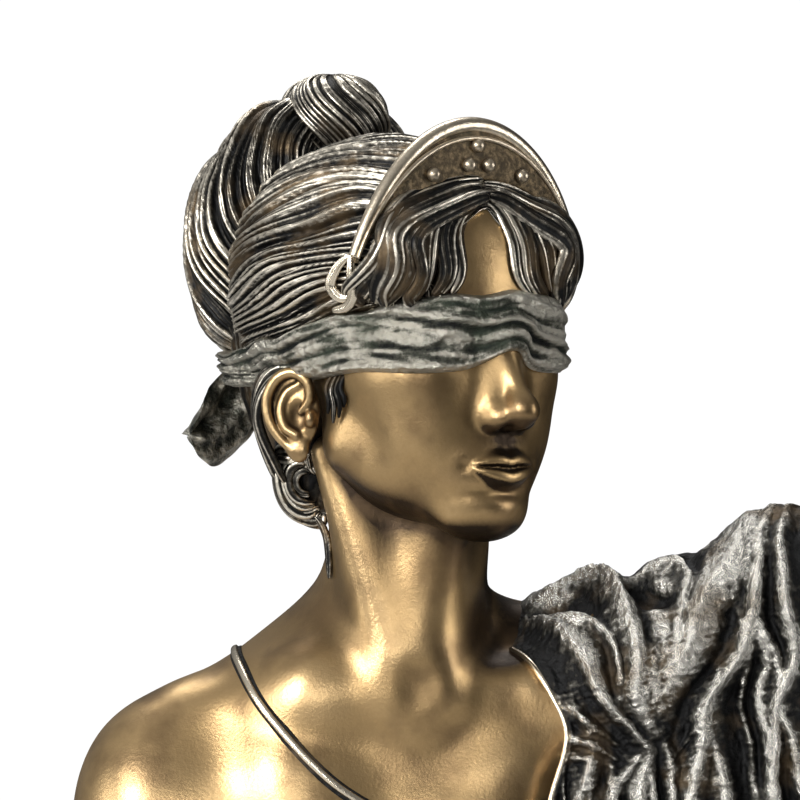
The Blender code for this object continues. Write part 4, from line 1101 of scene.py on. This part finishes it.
# Each fold: points of its crest, its half width and its height.
MAIN_FOLDS = (
    (((0.315, -0.155), (0.38, -0.215), (0.45, -0.305), (0.53, -0.405), (0.60, -0.50)), 0.020, 0.046),
    (((0.30, -0.13), (0.36, -0.070), (0.44, -0.045), (0.50, -0.070), (0.545, -0.17), (0.585, -0.31),
      (0.61, -0.45)), 0.034, 0.066),
    (((0.31, -0.165), (0.39, -0.190), (0.47, -0.215), (0.53, -0.29), (0.59, -0.42)), 0.016, 0.036),
    (((0.54, -0.09), (0.60, -0.055), (0.67, -0.040), (0.71, -0.09), (0.68, -0.20), (0.64, -0.36),
      (0.62, -0.47)), 0.026, 0.036),
    (((0.83, 0.12), (0.85, 0.05), (0.82, -0.06), (0.74, -0.16), (0.68, -0.28), (0.64, -0.42)), 0.040, 0.060),
    (((0.90, 0.14), (0.885, -0.04), (0.85, -0.20), (0.78, -0.36), (0.72, -0.56), (0.69, -0.80),
      (0.67, -1.10)), 0.026, 0.052),
    (((0.94, 0.10), (0.935, -0.05), (0.955, -0.22), (0.93, -0.42), (0.89, -0.70), (0.86, -1.10)), 0.024, 0.050),
    (((0.85, -0.10), (0.90, -0.25), (0.955, -0.45), (0.99, -0.70), (1.00, -1.10)), 0.020, 0.044),
    (((0.60, -0.50), (0.585, -0.62), (0.60, -0.80), (0.58, -1.10)), 0.026, 0.050),
    (((0.59, -0.50), (0.52, -0.62), (0.495, -0.80), (0.47, -1.10)), 0.022, 0.044),
    (((0.64, -0.48), (0.665, -0.62), (0.64, -0.80), (0.63, -1.10)), 0.020, 0.046),
    (((0.745, -0.45), (0.79, -0.60), (0.79, -0.80), (0.77, -1.10)), 0.022, 0.044),
    (((0.43, -0.36), (0.46, -0.50), (0.435, -0.66), (0.40, -0.85), (0.38, -1.10)), 0.022, 0.032),
)
# Each hollow: its middle's place and height, its width and height, and its depth.
HOLLOWS = ((0.395, -0.142, 0.078, 0.028, 0.085), (0.600, -0.135, 0.055, 0.022, 0.070),
           (0.725, -0.04, 0.020, 0.05, 0.030))


def folds(x, z):
    """Height of the cloth's front, and how near a crest: its main folds, finer ones between, less hollows.

    The finer folds fan out of the gathering up to the arm, and hang straight to the right and below.
    """
    x = x + 0.010 * np.sin(17 * z + 3 * x) + 0.006 * np.sin(31 * z + 1)
    z = z + 0.008 * np.sin(23 * x)
    tall = np.zeros(x.shape)
    crest = np.zeros(x.shape)
    for line, wide, high in MAIN_FOLDS:
        line = path_through(line, 15)
        foot = 0.12 * ridge(x, z, line, wide * 2.2, high)
        tall = np.maximum(tall, ridge(x, z, line, wide, high)) + foot
        crest = np.maximum(crest, ridge(x, z, line, wide * 0.55, 1.0))
    fan = np.arctan2(x - GATHER[0], z - GATHER[1] + 0.08)
    far = np.hypot(x - GATHER[0], z - GATHER[1])
    upper = 1.3 * strands(fan, far, 0.16, 333, 0.12) ** 2 * smooth(far / 0.18)
    lower = 1.2 * strands(x + 0.10 * z, z, 0.052, 302, 0.4) ** 2
    right = smooth((x - 0.70 - 0.35 * (z + 0.45)) / 0.08)
    down = np.maximum(smooth((GATHER[1] - z) / 0.10), right)
    fine = (1 - down) * upper + down * lower
    tall = tall + 0.026 * fine * (1 - np.clip(tall / 0.06, 0, 0.8))
    crest = np.maximum(crest, 0.75 * fine ** 3)
    for cx, cz, wide, high, deep in HOLLOWS:
        far = ((x - cx) / wide) ** 2 + ((z - cz + 0.25 * (x - cx)) / high) ** 2
        tall = tall - deep * np.exp(-far ** 1.5)
    return tall, crest


def arm_line(x):
    """Height of the lifted arm's axis along it: a straight rise, held level at both ends."""
    return np.clip(-0.30 + (x - 0.56) * 0.51, -0.36, 0.1)


def cloth_grid(s_steps, t_steps):
    """Cloth from edge to arm end, and from the front foot over the shoulder to the back foot: rays from a
    line under the arm, level below the arm and fanning over it, with the folds added to their length."""
    s, t = crossed(s_steps, t_steps)
    low, split = -CUT_LOW, 0.40
    lean = math.pi * np.clip((t - split) / (1 - 2 * split), 0, 1)
    front_up = low + (arm_line(0.6) - low) * np.clip(t / split, 0, 1)
    back_up = low + (arm_line(0.6) - low) * np.clip((1 - t) / split, 0, 1)
    over = smooth((t - split) / (1 - 2 * split))
    arc = np.where(t < 0.5, front_up + 0.2 * lean, back_up + 0.2 * (math.pi - lean))
    edge = (1 - over) * hem_front(arc) + over * hem_back(arc)
    x = edge + s * (CLOTH_END - edge)
    axis = arm_line(x)
    rise = np.clip(np.where(t < 0.5, t, 1 - t) / split, 0, 1)
    z0 = low + (axis - low) * rise
    start = np.stack([x, 0.03 + 0 * x, z0], -1)
    way = np.stack([0 * x, -np.cos(lean), np.sin(lean)], -1)
    r = cast(hung_field, start, way, 0.9)
    drop = z0 + r * np.minimum(lean, math.pi - lean)
    top = np.exp(-((t - 0.5) / 0.09) ** 2)
    lift = CLOTH_THICK * smooth(s / (0.035 + 0.09 * top)) - 0.05 * (1 - smooth(s / 0.02)) - 0.012 * top
    lift = lift + 0.010 * np.exp(-((s - 0.030) / 0.014) ** 2) * (1 - top)
    height, crest = folds(x, drop)
    front = smooth((s - 0.03) / 0.05) * smooth((0.54 - t) / 0.05)
    behind = x + 0.30 * drop + 0.03 * np.sin(5 * drop)
    wave = strands(behind, drop, 0.12, 321, 0.2)
    wave = wave + 0.35 * strands(behind - 0.10 * drop, drop, 0.045, 322, 0.4)
    back_wave = (0.048 * wave - 0.02) * smooth((s - 0.05) / 0.1) * smooth((t - 0.53) / 0.1)
    at = start + way * r[..., None]
    hammered = 0.7 * mottle(at, 0.040, 311) + 0.8 * mottle(at, 0.018, 312)
    height = np.maximum(height, -0.012)
    lift = lift + (height - 0.012) * front + back_wave + 0.0030 * hammered * smooth(s / 0.05)
    front_shown, back_shown = 0.05 + 0.72 * height / 0.050 + 0.42 * crest, 0.12 + 0.62 * wave
    shown = np.where(t < 0.52, front_shown, back_shown) + 0.18 * hammered
    return start + way * (r + lift)[..., None], shown


CUT_STEPS = (0.004, 0.03, 0.3, 0.65, 1.0)
CUT_TONE = 0.72


def build_cloth():
    """The cloth, its cut end closed flat in a few steps to the middle, and the bright cord along its hem."""
    across = np.concatenate([span(0, 0.08, 24, ring=True), span(0.08, 1, 160)])
    along = np.concatenate([span(0, 0.5, 226, ring=True), span(0.5, 1, 56)])
    grid, shown = cloth_grid(across, along)
    middle = grid[-1:].mean(1, keepdims=True)
    middle[..., 2] = -0.5
    last = [grid[-1:] + (middle - grid[-1:]) * share for share in CUT_STEPS]
    shown = np.concatenate([shown[:1], shown, CUT_TONE + 0 * shown[-len(CUT_STEPS):]])
    sheet_piece("cloth", np.concatenate([drawn_in(grid[:1]), grid, *last]), CLOTH, wrap_cols=True, rounds=4,
                depth=0.012, carved=shown)
    hem = cloth_grid(np.array([0.020, 0.023]), span(0.002, 0.455, 180))[0][0]
    grid = tube(eased(hem, 30) + (0, -0.003, 0), (0, -1, 0), 0.0080, 0.0080, 18)
    sheet_piece("hem_cord", grid, RIM, wrap_cols=True, rounds=4, depth=0.02,
                carved=np.full(grid.shape[:2], 0.8))


# ---------------------------------------------------------------- the bust

build_skin()
build_arm()
build_hair_mass()
build_bun()
for side in (-1, 1):
    build_side_hair(side)
    build_roll(side)
    build_front_hair(side)
    build_curls(side)
    build_ear(side)
build_diadem()
build_band()
build_knot()
build_dress()
build_cloth()


# ---------------------------------------------------------------- studio

def area(name, place, target, size, power):
    """A white oblong light, width by height, turned to a target."""
    light = bpy.data.lights.new(name, "AREA")
    light.shape = "RECTANGLE"
    light.size, light.size_y = size
    light.energy = power
    ob = bpy.data.objects.new(name, light)
    ob.location = place
    ob.rotation_euler = (Vector(target) - Vector(place)).to_track_quat("-Z", "Y").to_euler()
    bpy.context.scene.collection.objects.link(ob)


def build_studio():
    """Camera, floor, lights, and a world that is white to the camera and else a glow from one side.

    The lens is sensor width times distance over the picture's width on the bust, by pixels of the head.
    """
    look = Vector((0, 0, 0.0617))
    distance, sensor = 1.0, 36
    picture_px, head_px = 800, 405
    cam = bpy.data.objects.new("camera", bpy.data.cameras.new("camera"))
    cam.location = (0, -distance, look.z)
    cam.rotation_euler = (math.radians(90), 0, 0)
    cam.data.sensor_width = sensor
    cam.data.lens = sensor * distance / (picture_px / head_px * HEAD)
    cam.data.clip_start = 0.01
    bpy.context.scene.collection.objects.link(cam)
    bpy.context.scene.camera = cam
    floor = bpy.data.meshes.new("floor")
    corners, wide = 96, 0.14
    turn = np.linspace(0, FULL, corners, endpoint=False)
    floor.from_pydata([(wide * math.cos(a), wide * math.sin(a), 0) for a in turn], [], [list(range(corners))])
    ground = bpy.data.objects.new("floor", floor)
    mat = bpy.data.materials.new("floor")
    mat.use_nodes = True
    grey = mat.node_tree.nodes["Principled BSDF"].inputs
    grey["Base Color"].default_value = (0.60, 0.60, 0.60, 1)
    grey["Roughness"].default_value = 0.7
    floor.materials.append(mat)
    bpy.context.scene.collection.objects.link(ground)
    world = bpy.data.worlds.new("studio")
    bpy.context.scene.world = world
    world.use_nodes = True
    tree = world.node_tree
    back = tree.nodes["Background"]
    back.inputs["Color"].default_value = (1, 1, 1, 1)
    where = node(tree, "ShaderNodeTexCoord", -800, 0)
    high = node(tree, "ShaderNodeVectorMath", -600, 0, {1: (-0.62, -0.20, 0.76)}, operation="DOT_PRODUCT")
    glow = mapped(tree, -400, 0, -0.20, 0.95, 0.015, 0.42)
    white = node(tree, "ShaderNodeBackground", 0, 200, {"Color": (1, 1, 1, 1), "Strength": 1.05})
    mix = node(tree, "ShaderNodeMixShader", 200, 0)
    seen = node(tree, "ShaderNodeLightPath", 0, 500)
    join(tree, (where, "Generated", high, 0), (high, "Value", glow, "Value"),
         (glow, "Result", back, "Strength"),
         (seen, "Is Camera Ray", mix, 0), (back, 0, mix, 1), (white, 0, mix, 2),
         (mix, 0, tree.nodes["World Output"], "Surface"))
    bpy.context.scene.view_settings.view_transform = "Standard"
    area("key", (-0.50, -0.56, 0.30), look, (0.12, 0.34), 5.8)
    area("front", (-0.12, -0.95, 0.20), look, (0.10, 0.20), 1.3)
    area("left", (-0.66, -0.16, 0.09), look, (0.07, 0.30), 0.8)
    area("right", (0.52, -0.14, 0.14), look, (0.04, 0.35), 0.9)
    area("top", (-0.05, 0.20, 0.5), look, (0.30, 0.20), 1.3)


build_studio()
